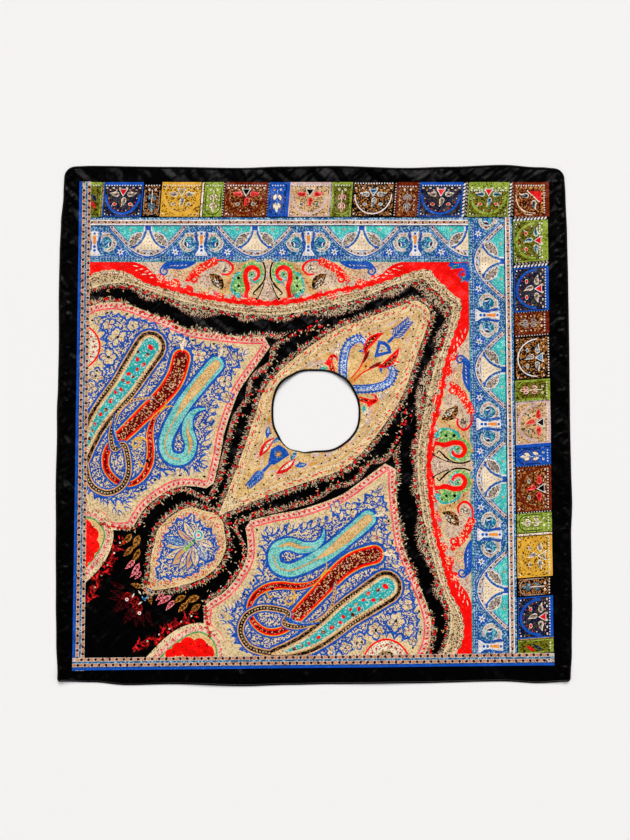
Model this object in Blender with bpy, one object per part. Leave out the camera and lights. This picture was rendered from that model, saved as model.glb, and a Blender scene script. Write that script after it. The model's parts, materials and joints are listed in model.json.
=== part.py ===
"""A square silk-satin bandana with a round bound neck opening, laid flat.

Metres, +Z up. The scarf rests on the plane Z = 0 with its right side up and its bottom
edge towards -Y. The middle of its outline is at X = Y = 0.
"""

import math

import bmesh
import bpy

MM = 0.001

HALF_WIDTH = 445 * MM  # the hemmed square as it lies, half across and half up
HALF_HEIGHT = 451 * MM
WALL = 1.4 * MM  # the cloth wall where it lies flat
SEAM_GAP = 0.3 * MM
HEM_WIDTH = 3.6 * MM  # the rolled hem
HEM_HEIGHT = 2.2 * MM
BINDING_WIDTH = 4.0 * MM  # the bias binding round the neck opening
BINDING_HEIGHT = 2.4 * MM
NECK_CENTRE = (5.2 * MM, 19.0 * MM)

SIDE_STEPS = 22  # stretches along each straight side
CORNER_STEPS = 4  # stretches round each corner
PER_SIDE = SIDE_STEPS + CORNER_STEPS
BINDING_STEPS = 72
RING_SHARES = (0, 0.03, 0.07, 0.12, 0.17, 0.23, 0.29, 0.35, 0.41, 0.47, 0.53,
               0.59, 0.65, 0.71, 0.77, 0.82, 0.87, 0.91, 0.95, 0.98, 1)

# Corners anticlockwise from the top right: which way each lies, and its radius in mm.
CORNERS = (
    # side_x, side_y, radius
    (1, 1, 17),
    (-1, 1, 19),
    (-1, -1, 6),
    (1, -1, 7),
)
SIDE_NAMES = ("top", "left", "bottom", "right")

# How far each side of the scarf strays outwards from the straight cut, in mm.
STRAY_LEFT = (
    # along, out
    (-450, -7), (-380, -3), (-310, -1.3), (-200, 0.4), (-100, 1.9), (-30, 1), (20, 1.8),
    (60, 0.5), (130, 0.1), (230, 1.5), (300, 1), (350, -0.5), (400, -4.2), (450, -6),
)
STRAY_RIGHT = (
    # along, out
    (-450, -5.6), (-400, -2), (-310, -0.1), (-200, -0.2), (-140, 2.4), (-80, 1.4),
    (-14, 0.8), (140, 1.3), (250, 1.1), (330, 0.4), (400, -1.4), (450, -4),
)
STRAY_TOP = (
    # along, out
    (-450, -2), (-395, 0.5), (-257, -1.3), (-130, -3.1), (-50, -0.6), (30, 0.5),
    (166, -3.1), (240, -1), (336, 2.3), (400, -2), (450, -6),
)
STRAY_BOTTOM = (
    # along, out
    (-450, -5.8), (-385, -3.9), (-322, 1.2), (-239, -0.5), (-116, 2.8), (-40, 0.8),
    (30, -0.6), (172, -2.2), (326, -5.2), (388, -2.2), (450, -5.6),
)

# The neck opening's outline, to the binding's outer edge.
NECK_OUTLINE = (
    # angle_deg, radius_mm
    (0, 76.5), (30, 75.8), (45, 76.4), (60, 74.8), (90, 72.4), (120, 77), (145, 81),
    (180, 78.9), (205, 81.4), (230, 83), (250, 77.5), (270, 72.6), (300, 76.2), (335, 78.6),
)

# Ridges left by folding, packing and handling. Each runs along its bearing through its
# middle, fades out at both ends, and thickens the wall from a flat underside. All in mm.
RIDGES = (
    # x, y, bearing_deg, half_length, half_width, height
    (48, 360, 92, 130, 17, 1.2),
    (42, -330, 88, 150, 17, 0.9),
    (-370, 12, 2, 110, 16, 1.0),
    (350, -6, -2, 130, 17, 1.2),
    (-130, 418, 62, 60, 18, 0.9),
    (165, 414, 118, 60, 18, 0.8),
    (-260, 420, 80, 55, 16, 0.7),
    (300, 418, 70, 55, 16, 0.7),
    (-70, 95, 140, 70, 14, 1.1),
    (105, 80, 48, 60, 14, 0.9),
    (95, -50, 22, 75, 14, 1.0),
    (-85, -75, 225, 70, 14, 1.1),
    (10, -95, 275, 55, 13, 0.8),
    (420, 260, 8, 60, 16, 0.8),
    (420, -260, -8, 60, 16, 0.8),
    (-415, 260, -10, 55, 16, 0.7),
    (-415, -180, 10, 55, 16, 0.7),
)

# Places where the whole cloth stands off the surface, in mm.
LIFTS = (
    # x, y, reach, height
    (-447, -453, 105, 6.5),
    (447, -453, 100, 6.0),
    (120, -470, 120, 2.2),
    (-180, -470, 120, 2.0),
    (447, 453, 70, 3.0),
    (-447, 453, 70, 2.5),
    (-58, 72, 62, 5.0),
    (60, 75, 52, 4.0),
)

# The hem's and the binding's cross-section: a flat underside and a rolled top.
ROLL = (
    # across_share, up_share
    (0.06, 0), (0.94, 0), (1, 0.42), (0.8, 0.86), (0.5, 1), (0.2, 0.86), (0, 0.42),
)


def smooth(share):
    """Eases from 0 to 1 with no corner at either end."""
    share = min(1.0, max(0.0, share))
    return share * share * (3 - 2 * share)


def read_across(rows, at):
    """The second column of a table at a place in its first, eased between its rows."""
    if at <= rows[0][0]:
        return rows[0][1]
    for (start, low), (end, high) in zip(rows, rows[1:]):
        if at <= end:
            return low + (high - low) * smooth((at - start) / (end - start))
    return rows[-1][1]


def as_laid(x, y):
    """Where a point of the true square lies once its sides have strayed."""
    side = STRAY_RIGHT if x > 0 else STRAY_LEFT
    end = STRAY_TOP if y > 0 else STRAY_BOTTOM
    out_x = read_across(side, y / MM) * MM * abs(x / HALF_WIDTH) ** 3
    out_y = read_across(end, x / MM) * MM * abs(y / HALF_HEIGHT) ** 3
    return x + (out_x if x > 0 else -out_x), y + (out_y if y > 0 else -out_y)


def ridge_height(x, y):
    """How much the ridges thicken the wall here, never so much that it passes 3 mm."""
    total = 0.0
    for ridge_x, ridge_y, bearing, half_length, half_width, height in RIDGES:
        turn = math.radians(bearing)
        dx, dy = x / MM - ridge_x, y / MM - ridge_y
        along = (dx * math.cos(turn) + dy * math.sin(turn)) / half_length
        across = (dy * math.cos(turn) - dx * math.sin(turn)) / half_width
        total += height * math.exp(-across * across) * smooth(1.3 * (1 - abs(along)))
    return min(total, 1.6) * MM


def lift_height(x, y):
    """How far the underside stands off the surface here."""
    total = 0.0
    for lift_x, lift_y, reach, height in LIFTS:
        away = math.hypot(x / MM - lift_x, y / MM - lift_y)
        total += height * max(0.0, 1 - away / reach) ** 2
    return total * MM


def outline(inset):
    """The scarf's outline, moved in by inset, anticlockwise from the top right corner."""
    points = []
    for index, (side_x, side_y, radius) in enumerate(CORNERS):
        arc = max(radius * MM - inset, 1 * MM)
        centre_x = side_x * (HALF_WIDTH - inset - arc)
        centre_y = side_y * (HALF_HEIGHT - inset - arc)
        for step in range(CORNER_STEPS + 1):
            turn = math.radians(90 * (index + step / CORNER_STEPS))
            points.append((centre_x + arc * math.cos(turn), centre_y + arc * math.sin(turn)))
        next_x, next_y, next_radius = CORNERS[(index + 1) % len(CORNERS)]
        next_arc = max(next_radius * MM - inset, 1 * MM)
        turn = math.radians(90 * (index + 1))
        end_x = next_x * (HALF_WIDTH - inset - next_arc) + next_arc * math.cos(turn)
        end_y = next_y * (HALF_HEIGHT - inset - next_arc) + next_arc * math.sin(turn)
        start_x, start_y = points[-1]
        for step in range(1, SIDE_STEPS):
            share = step / SIDE_STEPS
            points.append((start_x + (end_x - start_x) * share,
                           start_y + (end_y - start_y) * share))
    return [as_laid(x, y) for x, y in points]


def outline_middle():
    """The middle of the box round the outline, which becomes the origin."""
    across, up = zip(*outline(0))
    return (min(across) + max(across)) / 2, (min(up) + max(up)) / 2


MIDDLE = outline_middle()


def neck_point(angle, inset):
    """A point on the neck opening's outline, moved in by inset."""
    rows = NECK_OUTLINE + ((360, NECK_OUTLINE[0][1]),)
    radius = read_across(rows, math.degrees(angle) % 360) * MM - inset
    return (NECK_CENTRE[0] + radius * math.cos(angle),
            NECK_CENTRE[1] + radius * math.sin(angle))


def placed(x, y, up):
    """A point in the part's frame: up is counted from the underside of the cloth."""
    return x - MIDDLE[0], y - MIDDLE[1], lift_height(x, y) + up


def new_material(name, colour, roughness):
    material = bpy.data.materials.new(name)
    material.use_nodes = True
    shader = material.node_tree.nodes["Principled BSDF"]
    shader.inputs["Base Color"].default_value = (*colour, 1)
    shader.inputs["Roughness"].default_value = roughness
    shader.inputs["Metallic"].default_value = 0
    material.diffuse_color = (*colour, 1)
    return material


def loft(name, sections, closed, material):
    """A solid through sections of equal length, joined end to end or capped."""
    shape = bmesh.new()
    rows = [[shape.verts.new(point) for point in section] for section in sections]
    pairs = list(zip(rows, rows[1:]))
    if closed:
        pairs.append((rows[-1], rows[0]))
    else:
        shape.faces.new(rows[0])
        shape.faces.new(rows[-1])
    for here, beyond in pairs:
        for index in range(len(here)):
            before = index - 1
            shape.faces.new((here[before], here[index], beyond[index], beyond[before]))
    bmesh.ops.recalc_face_normals(shape, faces=shape.faces)
    mesh = bpy.data.meshes.new(name)
    shape.to_mesh(mesh)
    shape.free()
    mesh.shade_smooth()
    mesh.set_sharp_from_angle(angle=math.radians(40))
    mesh.materials.append(material)
    thing = bpy.data.objects.new(name, mesh)
    bpy.context.scene.collection.objects.link(thing)
    return thing


def make_silk_panel(material):
    """The printed square, as spokes from the neck opening out to the hem.

    It is one cloth, and its four quarters are solids of their own, so that none of them
    wraps round the neck opening.
    """
    spokes = []
    for outer_x, outer_y in outline(HEM_WIDTH + SEAM_GAP):
        angle = math.atan2(outer_y - NECK_CENTRE[1], outer_x - NECK_CENTRE[0])
        inner_x, inner_y = neck_point(angle, -SEAM_GAP)
        spoke = [(inner_x + (outer_x - inner_x) * share, inner_y + (outer_y - inner_y) * share)
                 for share in RING_SHARES]
        top = [placed(x, y, WALL + ridge_height(x, y)) for x, y in spoke]
        underside = [placed(x, y, 0) for x, y in reversed(spoke)]
        spokes.append(top + underside)
    for index, side in enumerate(SIDE_NAMES):
        loft("silk_panel_" + side, one_side(spokes, index), False, material)


def one_side(sections, index):
    """The sections of one side, from corner to corner, drawn back from the next side's."""
    first = index * PER_SIDE + CORNER_STEPS // 2
    taken = [sections[(first + step) % len(sections)] for step in range(PER_SIDE + 1)]
    for end, inner in ((0, 1), (-1, -2)):
        taken[end] = [drawn_back(point, towards)
                      for point, towards in zip(taken[end], taken[inner])]
    return taken


def drawn_back(point, towards):
    """A point moved half the seam's gap towards another."""
    share = SEAM_GAP * 0.75 / math.dist(point, towards)
    return tuple(a + (b - a) * share for a, b in zip(point, towards))


def make_hems(material):
    """The rolled hem, one length for each side, mitred at the corners."""
    tracks = [(outline(HEM_WIDTH * across), HEM_HEIGHT * up) for across, up in ROLL]
    sections = [[placed(*track[at], up) for track, up in tracks]
                for at in range(len(tracks[0][0]))]
    for index, side in enumerate(SIDE_NAMES):
        loft("hem_" + side, one_side(sections, index), False, material)


def make_neck_binding(material):
    """The narrow binding that closes the raw edge of the neck opening."""
    sections = []
    for step in range(BINDING_STEPS):
        angle = 2 * math.pi * step / BINDING_STEPS
        sections.append([placed(*neck_point(angle, BINDING_WIDTH * across), BINDING_HEIGHT * up)
                         for across, up in ROLL])
    loft("neck_binding", sections, True, material)


for old in list(bpy.data.objects):
    bpy.data.objects.remove(old, do_unlink=True)
make_silk_panel(new_material("printed silk satin", (0.42, 0.3, 0.22), 0.45))
make_hems(new_material("black silk hem", (0.004, 0.004, 0.005), 0.5))
make_neck_binding(new_material("black silk binding", (0.003, 0.003, 0.004), 0.55))
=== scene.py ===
"""The look of a printed silk-satin bandana with a bound neck opening, laid flat.

Sizes are in millimetres until a mesh is made, and then in metres, in the CAD model's frame.
The print is drawn as flat shapes, each on top of those before it, on a square of 840 mm whose
P runs right and whose Q runs up from the square's lower left corner. It is a shawl pattern that
is its own reflection across one diagonal, so most of it is drawn once for both halves.
"""

import json
import math
import random

import bmesh
import bpy
import numpy as np
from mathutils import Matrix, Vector
from mathutils.geometry import delaunay_2d_cdt

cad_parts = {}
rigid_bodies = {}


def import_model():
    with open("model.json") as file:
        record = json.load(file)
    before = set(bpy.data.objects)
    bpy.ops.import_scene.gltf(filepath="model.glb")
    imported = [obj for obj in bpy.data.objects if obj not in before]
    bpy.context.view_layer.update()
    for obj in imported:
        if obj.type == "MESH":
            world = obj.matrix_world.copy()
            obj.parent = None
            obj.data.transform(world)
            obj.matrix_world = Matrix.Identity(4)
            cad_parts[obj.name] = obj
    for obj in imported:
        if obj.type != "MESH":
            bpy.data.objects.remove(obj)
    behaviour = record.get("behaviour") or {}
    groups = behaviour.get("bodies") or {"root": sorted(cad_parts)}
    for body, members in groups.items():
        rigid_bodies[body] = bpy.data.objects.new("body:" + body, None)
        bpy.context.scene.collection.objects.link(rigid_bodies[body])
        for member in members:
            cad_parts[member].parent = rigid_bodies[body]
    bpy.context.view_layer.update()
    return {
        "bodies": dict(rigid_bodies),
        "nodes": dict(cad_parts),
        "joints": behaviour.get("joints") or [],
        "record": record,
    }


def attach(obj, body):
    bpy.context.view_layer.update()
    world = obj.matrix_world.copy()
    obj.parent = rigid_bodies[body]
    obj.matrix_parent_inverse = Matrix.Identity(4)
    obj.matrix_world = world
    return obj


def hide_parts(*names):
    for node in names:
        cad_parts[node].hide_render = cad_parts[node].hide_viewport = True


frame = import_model()
random.seed(7)

MM = 0.001
HALF_WIDTH = 445  # the laid cloth, half across and half up, to the outside of its hem
HALF_HEIGHT = 451
CLOTH = 0.35  # thickness of the silk
CLEARANCE = 0.05  # between the silk and the surface it rests on
HEM_WIDTH = 3.6
HEM_HEIGHT = 2.2
BINDING_WIDTH = 3.8
BINDING_HEIGHT = 2.2
NECK_CENTRE = (5.2, 19.0)

PRINT_LEFT = -418  # where the print square's lower left corner lies
PRINT_FOOT = -424
PRINT_ACROSS = 0.99405  # the laid print is a little narrower and taller than it was cut
PRINT_UP = 1.01024

HEM_TUCK = 0.4  # how far the silk reaches under the hem, and under the binding
NECK_TUCK = 1.0
MAP_WIDTH = 0.92  # metres of the laid cloth that its flat map holds

SIDE_STEPS = 88
CORNER_STEPS = 8
NECK_STEPS = 120
GRID = 13  # spacing of the points that carry the cloth's waves
BORDER_GRID = 5.0
UNDER_GRID = 19
SLOPE_STEP = 0.4  # over which the cloth's slope is measured

# Corners anticlockwise from the top right: which way each lies, and its radius in mm.
CORNERS = (
    # side_x, side_y, radius
    (1, 1, 17),
    (-1, 1, 19),
    (-1, -1, 6),
    (1, -1, 7),
)
SIDE_NAMES = ("top", "left", "bottom", "right")

# How far each side of the cloth strays outwards from the straight cut, in mm.
STRAY_LEFT = (
    # along, out
    (-450, -7), (-380, -3), (-310, -1.3), (-200, 0.4), (-100, 1.9), (-30, 1), (20, 1.8),
    (60, 0.5), (130, 0.1), (230, 1.5), (300, 1), (350, -0.5), (400, -4.2), (450, -6),
)
STRAY_RIGHT = (
    # along, out
    (-450, -5.6), (-400, -2), (-310, -0.1), (-200, -0.2), (-140, 2.4), (-80, 1.4),
    (-14, 0.8), (140, 1.3), (250, 1.1), (330, 0.4), (400, -1.4), (450, -4),
)
STRAY_TOP = (
    # along, out
    (-450, -2), (-395, 0.5), (-257, -1.3), (-130, -3.1), (-50, -0.6), (30, 0.5),
    (166, -3.1), (240, -1), (336, 2.3), (400, -2), (450, -6),
)
STRAY_BOTTOM = (
    # along, out
    (-450, -5.8), (-385, -3.9), (-322, 1.2), (-239, -0.5), (-116, 2.8), (-40, 0.8),
    (30, -0.6), (172, -2.2), (326, -5.2), (388, -2.2), (450, -5.6),
)
NECK_OUTLINE = (
    # angle_deg, radius_mm
    (0, 76.5), (30, 75.8), (45, 76.4), (60, 74.8), (90, 72.4), (120, 77), (145, 81),
    (180, 78.9), (205, 81.4), (230, 83), (250, 77.5), (270, 72.6), (300, 76.2), (335, 78.6),
    (360, 76.5),
)

# The CAD model's ridges: each runs along its bearing and fades out at both ends. All in mm.
RIDGES = (
    # x, y, bearing_deg, half_length, half_width, height
    (48, 360, 92, 130, 17, 1.2),
    (42, -330, 88, 150, 17, 0.9),
    (-370, 12, 2, 110, 16, 1.0),
    (350, -6, -2, 130, 17, 1.2),
    (-130, 418, 62, 60, 18, 0.9),
    (165, 414, 118, 60, 18, 0.8),
    (-260, 420, 80, 55, 16, 0.7),
    (300, 418, 70, 55, 16, 0.7),
    (-70, 95, 140, 70, 14, 1.1),
    (105, 80, 48, 60, 14, 0.9),
    (95, -50, 22, 75, 14, 1.0),
    (-85, -75, 225, 70, 14, 1.1),
    (10, -95, 275, 55, 13, 0.8),
    (420, 260, 8, 60, 16, 0.8),
    (420, -260, -8, 60, 16, 0.8),
    (-415, 260, -10, 55, 16, 0.7),
    (-415, -180, 10, 55, 16, 0.7),
)
HIGHEST_WAVE = 1.6
# Where the whole cloth stands off the surface: the corners, the foot and the opening's shoulders.
LIFTS = (
    # x, y, reach, height
    (-447, -453, 105, 1.5), (-447, -453, 50, 4.5), (-447, -455, 34, 5.5),
    (447, -453, 100, 1.5), (447, -453, 48, 4.5),
    (120, -470, 120, 2.2),
    (-180, -470, 120, 2.0),
    (447, 453, 70, 3.0),
    (-447, 453, 70, 2.5),
    (-58, 72, 62, 5.0),
    (60, 75, 52, 4.0),
)


def smooth(share):
    """Eases from 0 to 1 with no corner at either end."""
    share = np.clip(share, 0, 1)
    return share * share * (3 - 2 * share)


def read_across(rows, at):
    """The second column of a table at places in its first, eased between its rows."""
    starts, values = np.array(rows, float).T
    at = np.asarray(at, float)
    after = np.clip(np.searchsorted(starts, at), 1, len(starts) - 1)
    share = smooth((at - starts[after - 1]) / (starts[after] - starts[after - 1]))
    return values[after - 1] + (values[after] - values[after - 1]) * share


def outline(inset, side_steps=SIDE_STEPS, corner_steps=CORNER_STEPS):
    """The cloth's outline, moved in by inset, anticlockwise from the top right corner."""
    arcs = []
    for index, (side_x, side_y, radius) in enumerate(CORNERS):
        arc = max(radius - inset, 1)
        turns = [math.radians(90 * (index + step / corner_steps))
                 for step in range(corner_steps + 1)]
        arcs.append([np.array((side_x * (HALF_WIDTH - inset - arc) + arc * math.cos(turn),
                               side_y * (HALF_HEIGHT - inset - arc) + arc * math.sin(turn)))
                     for turn in turns])
    points = []
    for here, beyond in zip(arcs, arcs[1:] + arcs[:1]):
        points += here
        points += [here[-1] + (beyond[0] - here[-1]) * share
                   for share in np.arange(1, side_steps) / side_steps]
    x, y = np.array(points).T
    side = np.where(x > 0, read_across(STRAY_RIGHT, y), read_across(STRAY_LEFT, y))
    end = np.where(y > 0, read_across(STRAY_TOP, x), read_across(STRAY_BOTTOM, x))
    return np.stack([x + np.sign(x) * side * np.abs(x / HALF_WIDTH) ** 3,
                     y + np.sign(y) * end * np.abs(y / HALF_HEIGHT) ** 3], 1)


cut_edge = outline(0, 22, 4)
MIDDLE = (cut_edge.max(0) + cut_edge.min(0)) / 2  # this becomes the origin


def neck_points(inset, steps=NECK_STEPS):
    """The neck opening's outline, moved in by inset, anticlockwise."""
    angles = np.arange(steps) / steps * 360
    radius = read_across(NECK_OUTLINE, angles) - np.asarray(inset)
    return np.stack([NECK_CENTRE[0] + radius * np.cos(np.radians(angles)),
                     NECK_CENTRE[1] + radius * np.sin(np.radians(angles))], 1)


def lift_height(x, y):
    """How far the whole cloth stands off the surface."""
    total = np.zeros_like(x)
    for lift_x, lift_y, reach, height in LIFTS:
        away = np.hypot(x - lift_x, y - lift_y)
        total += height * np.clip(1 - away / reach, 0, None) ** 2
    return total


def ridges_height(rows, x, y):
    """The sum of a table of ridges."""
    total = np.zeros_like(x)
    for ridge_x, ridge_y, bearing, half_length, half_width, height in rows:
        turn = math.radians(bearing)
        along = ((x - ridge_x) * math.cos(turn) + (y - ridge_y) * math.sin(turn)) / half_length
        across = ((y - ridge_y) * math.cos(turn) - (x - ridge_x) * math.sin(turn)) / half_width
        total += height * np.exp(-across * across) * smooth(1.3 * (1 - np.abs(along)))
    return total


# Short creases across the plain border, uneven in length, width and spacing.
CREASE_SIDES = (
    # side, spacing, shortest, longest, half_width, height
    ("left", 11, 6, 17, 3.2, 1.4),
    ("right", 10, 6, 17, 3.2, 1.4),
    ("top", 19, 8, 22, 6.5, 0.45),
    ("bottom", 15, 7, 18, 4.6, 0.9),
)


CREASES_END = 430  # how far from the middle of a side its creases go


def border_creases():
    """The creases across each side of the border."""
    rows = []
    for side, spacing, shortest, longest, half_width, height in CREASE_SIDES:
        way = 1 if side in ("right", "top") else -1
        at = random.uniform(-CREASES_END, -CREASES_END + spacing)
        while at < CREASES_END:
            size = random.uniform(0.3, 1.2)
            inward = random.uniform(5, 16)
            lean = random.uniform(-14, 14)
            shape = (random.uniform(shortest, longest), half_width * random.uniform(0.7, 1.25),
                     height * size)
            if side in ("left", "right"):
                rows.append(((HALF_WIDTH - inward) * way, at, lean, *shape))
            else:
                rows.append((at, (HALF_HEIGHT - inward) * way, 90 + lean, *shape))
            at += spacing * random.uniform(0.45, 1.6)
    return rows


CREASES = border_creases()


def cloth_height(x, y):
    """The silk's upper face above the surface it rests on."""
    wave = np.minimum(ridges_height(RIDGES, x, y), HIGHEST_WAVE)
    return lift_height(x, y) + CLEARANCE + CLOTH + wave + ridges_height(CREASES, x, y)


def to_frame(x, y, z):
    """Millimetres on the cloth as metres in the CAD model's frame."""
    return np.stack([(x - MIDDLE[0]) * MM, (y - MIDDLE[1]) * MM, z * MM], -1)


def from_print(points):
    """Print units as millimetres on the laid cloth."""
    p, q = np.asarray(points, float).T
    return np.stack([PRINT_LEFT + PRINT_ACROSS * p, PRINT_FOOT + PRINT_UP * q], 1)


# -------- inks and drawing

# Inks as sRGB: the ground, the specks over it, and the share that they cover.
INKS = {
    # name: (ground, speck, share)
    "black": ("#030303", "#030303", 0.0), "night": ("#040304", "#0c0808", 0.1),
    "red": ("#f21812", "#f84a3c", 0.04), "red marks": ("#ee2a20", "#f6c9a0", 0.22),
    "rose": ("#e9535c", "#f59c96", 0.25), "bud": ("#d81a20", "#e84a44", 0.2),
    "maroon": ("#6a0f0c", "#dcae80", 0.22), "dark red": ("#7a0e10", "#b02c28", 0.30),
    "crimson": ("#300709", "#5c1416", 0.30), "tan": ("#dfca9e", "#b4946a", 0.24),
    "pear cream": ("#dcc49c", "#b8543c", 0.26), "strip pale": ("#d6c2a8", "#ac7c70", 0.26),
    "tan dots": ("#d0ba92", "#664c36", 0.30), "warm tan": ("#e0c48c", "#c8985c", 0.34),
    "strip tan": ("#dcc49a", "#b48c60", 0.24), "ochre": ("#cc9448", "#e0b878", 0.40),
    "cream": ("#e2cda4", "#94704c", 0.20), "pale cream": ("#ebe0c8", "#a07c60", 0.24),
    "pink cream": ("#e2c2ac", "#cc6c62", 0.26), "pale pink": ("#c9aaa6", "#dccabc", 0.30),
    "beige": ("#a58a66", "#17120f", 0.52), "bed": ("#b8a68a", "#1a130f", 0.38),
    "bed rose": ("#b48e7a", "#1a0f0c", 0.44), "strip cream": ("#ccbeb0", "#5c3c38", 0.20),
    "beige fine": ("#c9a982", "#3a2a20", 0.40), "orange": ("#e28a3c", "#f0b060", 0.30),
    "gold": ("#daa63c", "#e8c060", 0.20), "brown": ("#581a0c", "#b07c40", 0.33),
    "rust": ("#702408", "#8c4420", 0.25), "royal": ("#2056ac", "#4a7cc8", 0.14),
    "bright blue": ("#1d58b3", "#2f6cc8", 0.10), "band blue": ("#2450a0", "#5f90c0", 0.20),
    "blue night": ("#101f42", "#5c4c2c", 0.30), "navy": ("#12204e", "#6c7ca0", 0.14),
    "steel": ("#24608c", "#9cbccc", 0.30), "steel pale": ("#6486a4", "#c4ccd0", 0.30),
    "teal": ("#246f84", "#84bcc0", 0.30), "blue specks": ("#2a50a0", "#e0cc9c", 0.45),
    "grey blue": ("#7d8fae", "#d8d0c4", 0.34), "turquoise": ("#30aaa8", "#b8dcd0", 0.18),
    "bright turquoise": ("#42b8b2", "#90dcd0", 0.26), "aqua": ("#92d0c2", "#48a8a8", 0.32),
    "green": ("#6aa860", "#c8d890", 0.30), "leaf green": ("#4f9a54", "#8cc080", 0.25),
    "olive": ("#767a22", "#3a2010", 0.32), "light green": ("#98ac46", "#566020", 0.20),
    "mustard": ("#dcac40", "#54300c", 0.24), "peach": ("#d4b082", "#64482c", 0.28),
    "dark specks": ("#14110f", "#b0763c", 0.36), "grey specks": ("#6a5a4c", "#e8dcc4", 0.40),
    "white": ("#e2e0dc", "#b8c4d4", 0.10), "orange bead": ("#c0825c", "#d8ac88", 0.20),
    "maroon bead": ("#401216", "#5c2824", 0.20), "ochre bead": ("#b8a060", "#5c4c30", 0.3),
    "grey petal": ("#b4a498", "#6c6460", 0.34), "dark line": ("#2a3010", "#4c5420", 0.2),
    "slate": ("#4c5c64", "#8c949c", 0.3), "fan cream": ("#eedcbc", "#dcc09c", 0.14),
    "orange tan": ("#cc9860", "#dcb888", 0.35), "bead black": ("#1c1512", "#8a6c50", 0.30),
    "ochre leaf": ("#8c5820", "#c88c44", 0.40), "sky": ("#4a7cc4", "#d4dce4", 0.40),
    "leaf pink": ("#e8707c", "#f4a8a8", 0.30),
}
COARSE_INK = "beige"  # the one ink whose specks are coarse


DIAGONAL_GAP = 3.5  # how near the diagonal a line goes before it is folded over
THINNEST = 0.3  # half the width under which a layer of a form is left out


class Print:
    """The flat shapes of the print, in the order in which they are laid down."""

    def __init__(self):
        self.shapes = []
        self.through = []
        self.far_side = False  # True while all is drawn on the far side of the diagonal
        self.reach = None  # how far left and right the shapes may go while a band is drawn

    def fill(self, outline_points, ink, sides=2, through=False):
        """A closed shape, drawn on both sides of the diagonal unless sides is 1."""
        if self.reach:
            outline_points = [(min(max(p, self.reach[0]), self.reach[1]), q)
                              for p, q in outline_points]
        both = [outline_points]
        if self.far_side:
            both = [[reflected(point) for point in outline_points]]
        elif sides == 2:
            both.append([reflected(point) for point in outline_points])
        for points in both:
            if through:
                self.through.append(len(self.shapes))
            self.shapes.append((points, ink))


art = Print()


def reflected(point):
    """The same place on the other side of the print's diagonal."""
    return point[1] - 3, point[0] + 4


def curve(knots, steps=5, closed=False):
    """A smooth line through its knots."""
    knots = np.array(knots, float)
    spans = len(knots) if closed else len(knots) - 1
    line = []
    for index in range(spans):
        near = index + np.arange(-1, 3)
        a, b, c, d = knots[near % spans if closed else np.clip(near, 0, spans)]
        for t in np.arange(steps) / steps:
            line.append(0.5 * (2 * b + (c - a) * t + (2 * a - 5 * b + 4 * c - d) * t * t
                               + (3 * b - a - 3 * c + d) * t ** 3))
    return line if closed else line + [knots[-1]]


def normals_of(line):
    """The unit normal, to the left, at each point of a line."""
    line = np.array(line)
    along = np.gradient(line, axis=0)
    along /= np.maximum(np.linalg.norm(along, axis=1, keepdims=True), 1e-6)
    return np.stack([-along[:, 1], along[:, 0]], 1)


def offset(line, distance):
    """A line moved to its left."""
    return [point + normal * distance for point, normal in zip(np.array(line), normals_of(line))]


def moved(p, q, way, along, out):
    """A place moved along a way and out to its left."""
    turned = math.radians(way)
    cos, sin = math.cos(turned), math.sin(turned)
    return p + along * cos - out * sin, q + along * sin + out * cos


def strewn(source, p, q, across, up):
    """A place moved at random, by no more than across and up."""
    return p + source.uniform(-across, across), q + source.uniform(-up, up)


def evenly(line, pitch, start=0.5):
    """Places a pitch apart along a line, with the way it runs there."""
    line = np.array(line)
    steps = np.linalg.norm(np.diff(line, axis=0), axis=1)
    travelled = np.concatenate([[0], np.cumsum(steps)])
    count = max(1, int(travelled[-1] / pitch))
    found = []
    for index in range(count):
        at = (index + start) * travelled[-1] / count
        place = min(int(np.searchsorted(travelled, at, side="right")) - 1, len(steps) - 1)
        share = (at - travelled[place]) / max(steps[place], 1e-6)
        point = line[place] + (line[place + 1] - line[place]) * share
        way = math.degrees(math.atan2(*(line[place + 1] - line[place])[::-1]))
        found.append((point[0], point[1], way))
    return found


EVEN = ((0, 1), (1, 1))  # the taper of a line that is as wide all along


def line_of(knots, width, ink, sides=2, steps=5, taper=EVEN):
    """A painted line. taper gives the share of its width at shares of its length."""
    line = np.array(curve(knots, steps) if steps else knots, float)
    widths = width * np.interp(np.linspace(0, 1, len(line)), *zip(*taper))
    edge = normals_of(line) * widths[:, None] / 2
    left, right = line + edge, line - edge
    for index in range(len(line) - 1):
        art.fill([right[index], right[index + 1], left[index + 1], left[index]], ink, sides)


def spot(p, q, radius, ink, sides=2, corners=6, squash=1.0, turn=0.0):
    """A small round or lozenge."""
    angles = [2 * math.pi * (step + 0.5) / corners for step in range(corners)]
    art.fill([moved(p, q, turn, radius * math.cos(angle), radius * squash * math.sin(angle))
              for angle in angles], ink, sides)


def spots_along(line, pitch, radius, inks, corners=5, start=0.5):
    """A row of spots in turn in each ink."""
    inks = [inks] if isinstance(inks, str) else inks
    for index, (p, q, way) in enumerate(evenly(line, pitch, start)):
        spot(p, q, radius, inks[index % len(inks)], corners=corners, turn=way)


def leaf(p, q, turn, length, width, ink, sides=2, bend=0.0, blunt=0.5):
    """A leaf or petal from its base, its widest place at the blunt share of its length."""
    turned = math.radians(turn)
    spine = []
    for share in np.arange(6) / 5:
        lean = turned + math.radians(bend) * share
        spine.append((p + length * share * math.cos(lean), q + length * share * math.sin(lean)))
    swell = [math.sin(math.pi * share ** (math.log(0.5) / math.log(blunt)))
             for share in np.arange(1, 5) / 5]
    edge = normals_of(spine)[1:5] * width / 2 * np.array(swell)[:, None]
    left, right = list(spine[1:5] + edge), list(spine[1:5] - edge)
    art.fill([spine[0]] + right + [spine[5]] + left[::-1], ink, sides)


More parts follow.
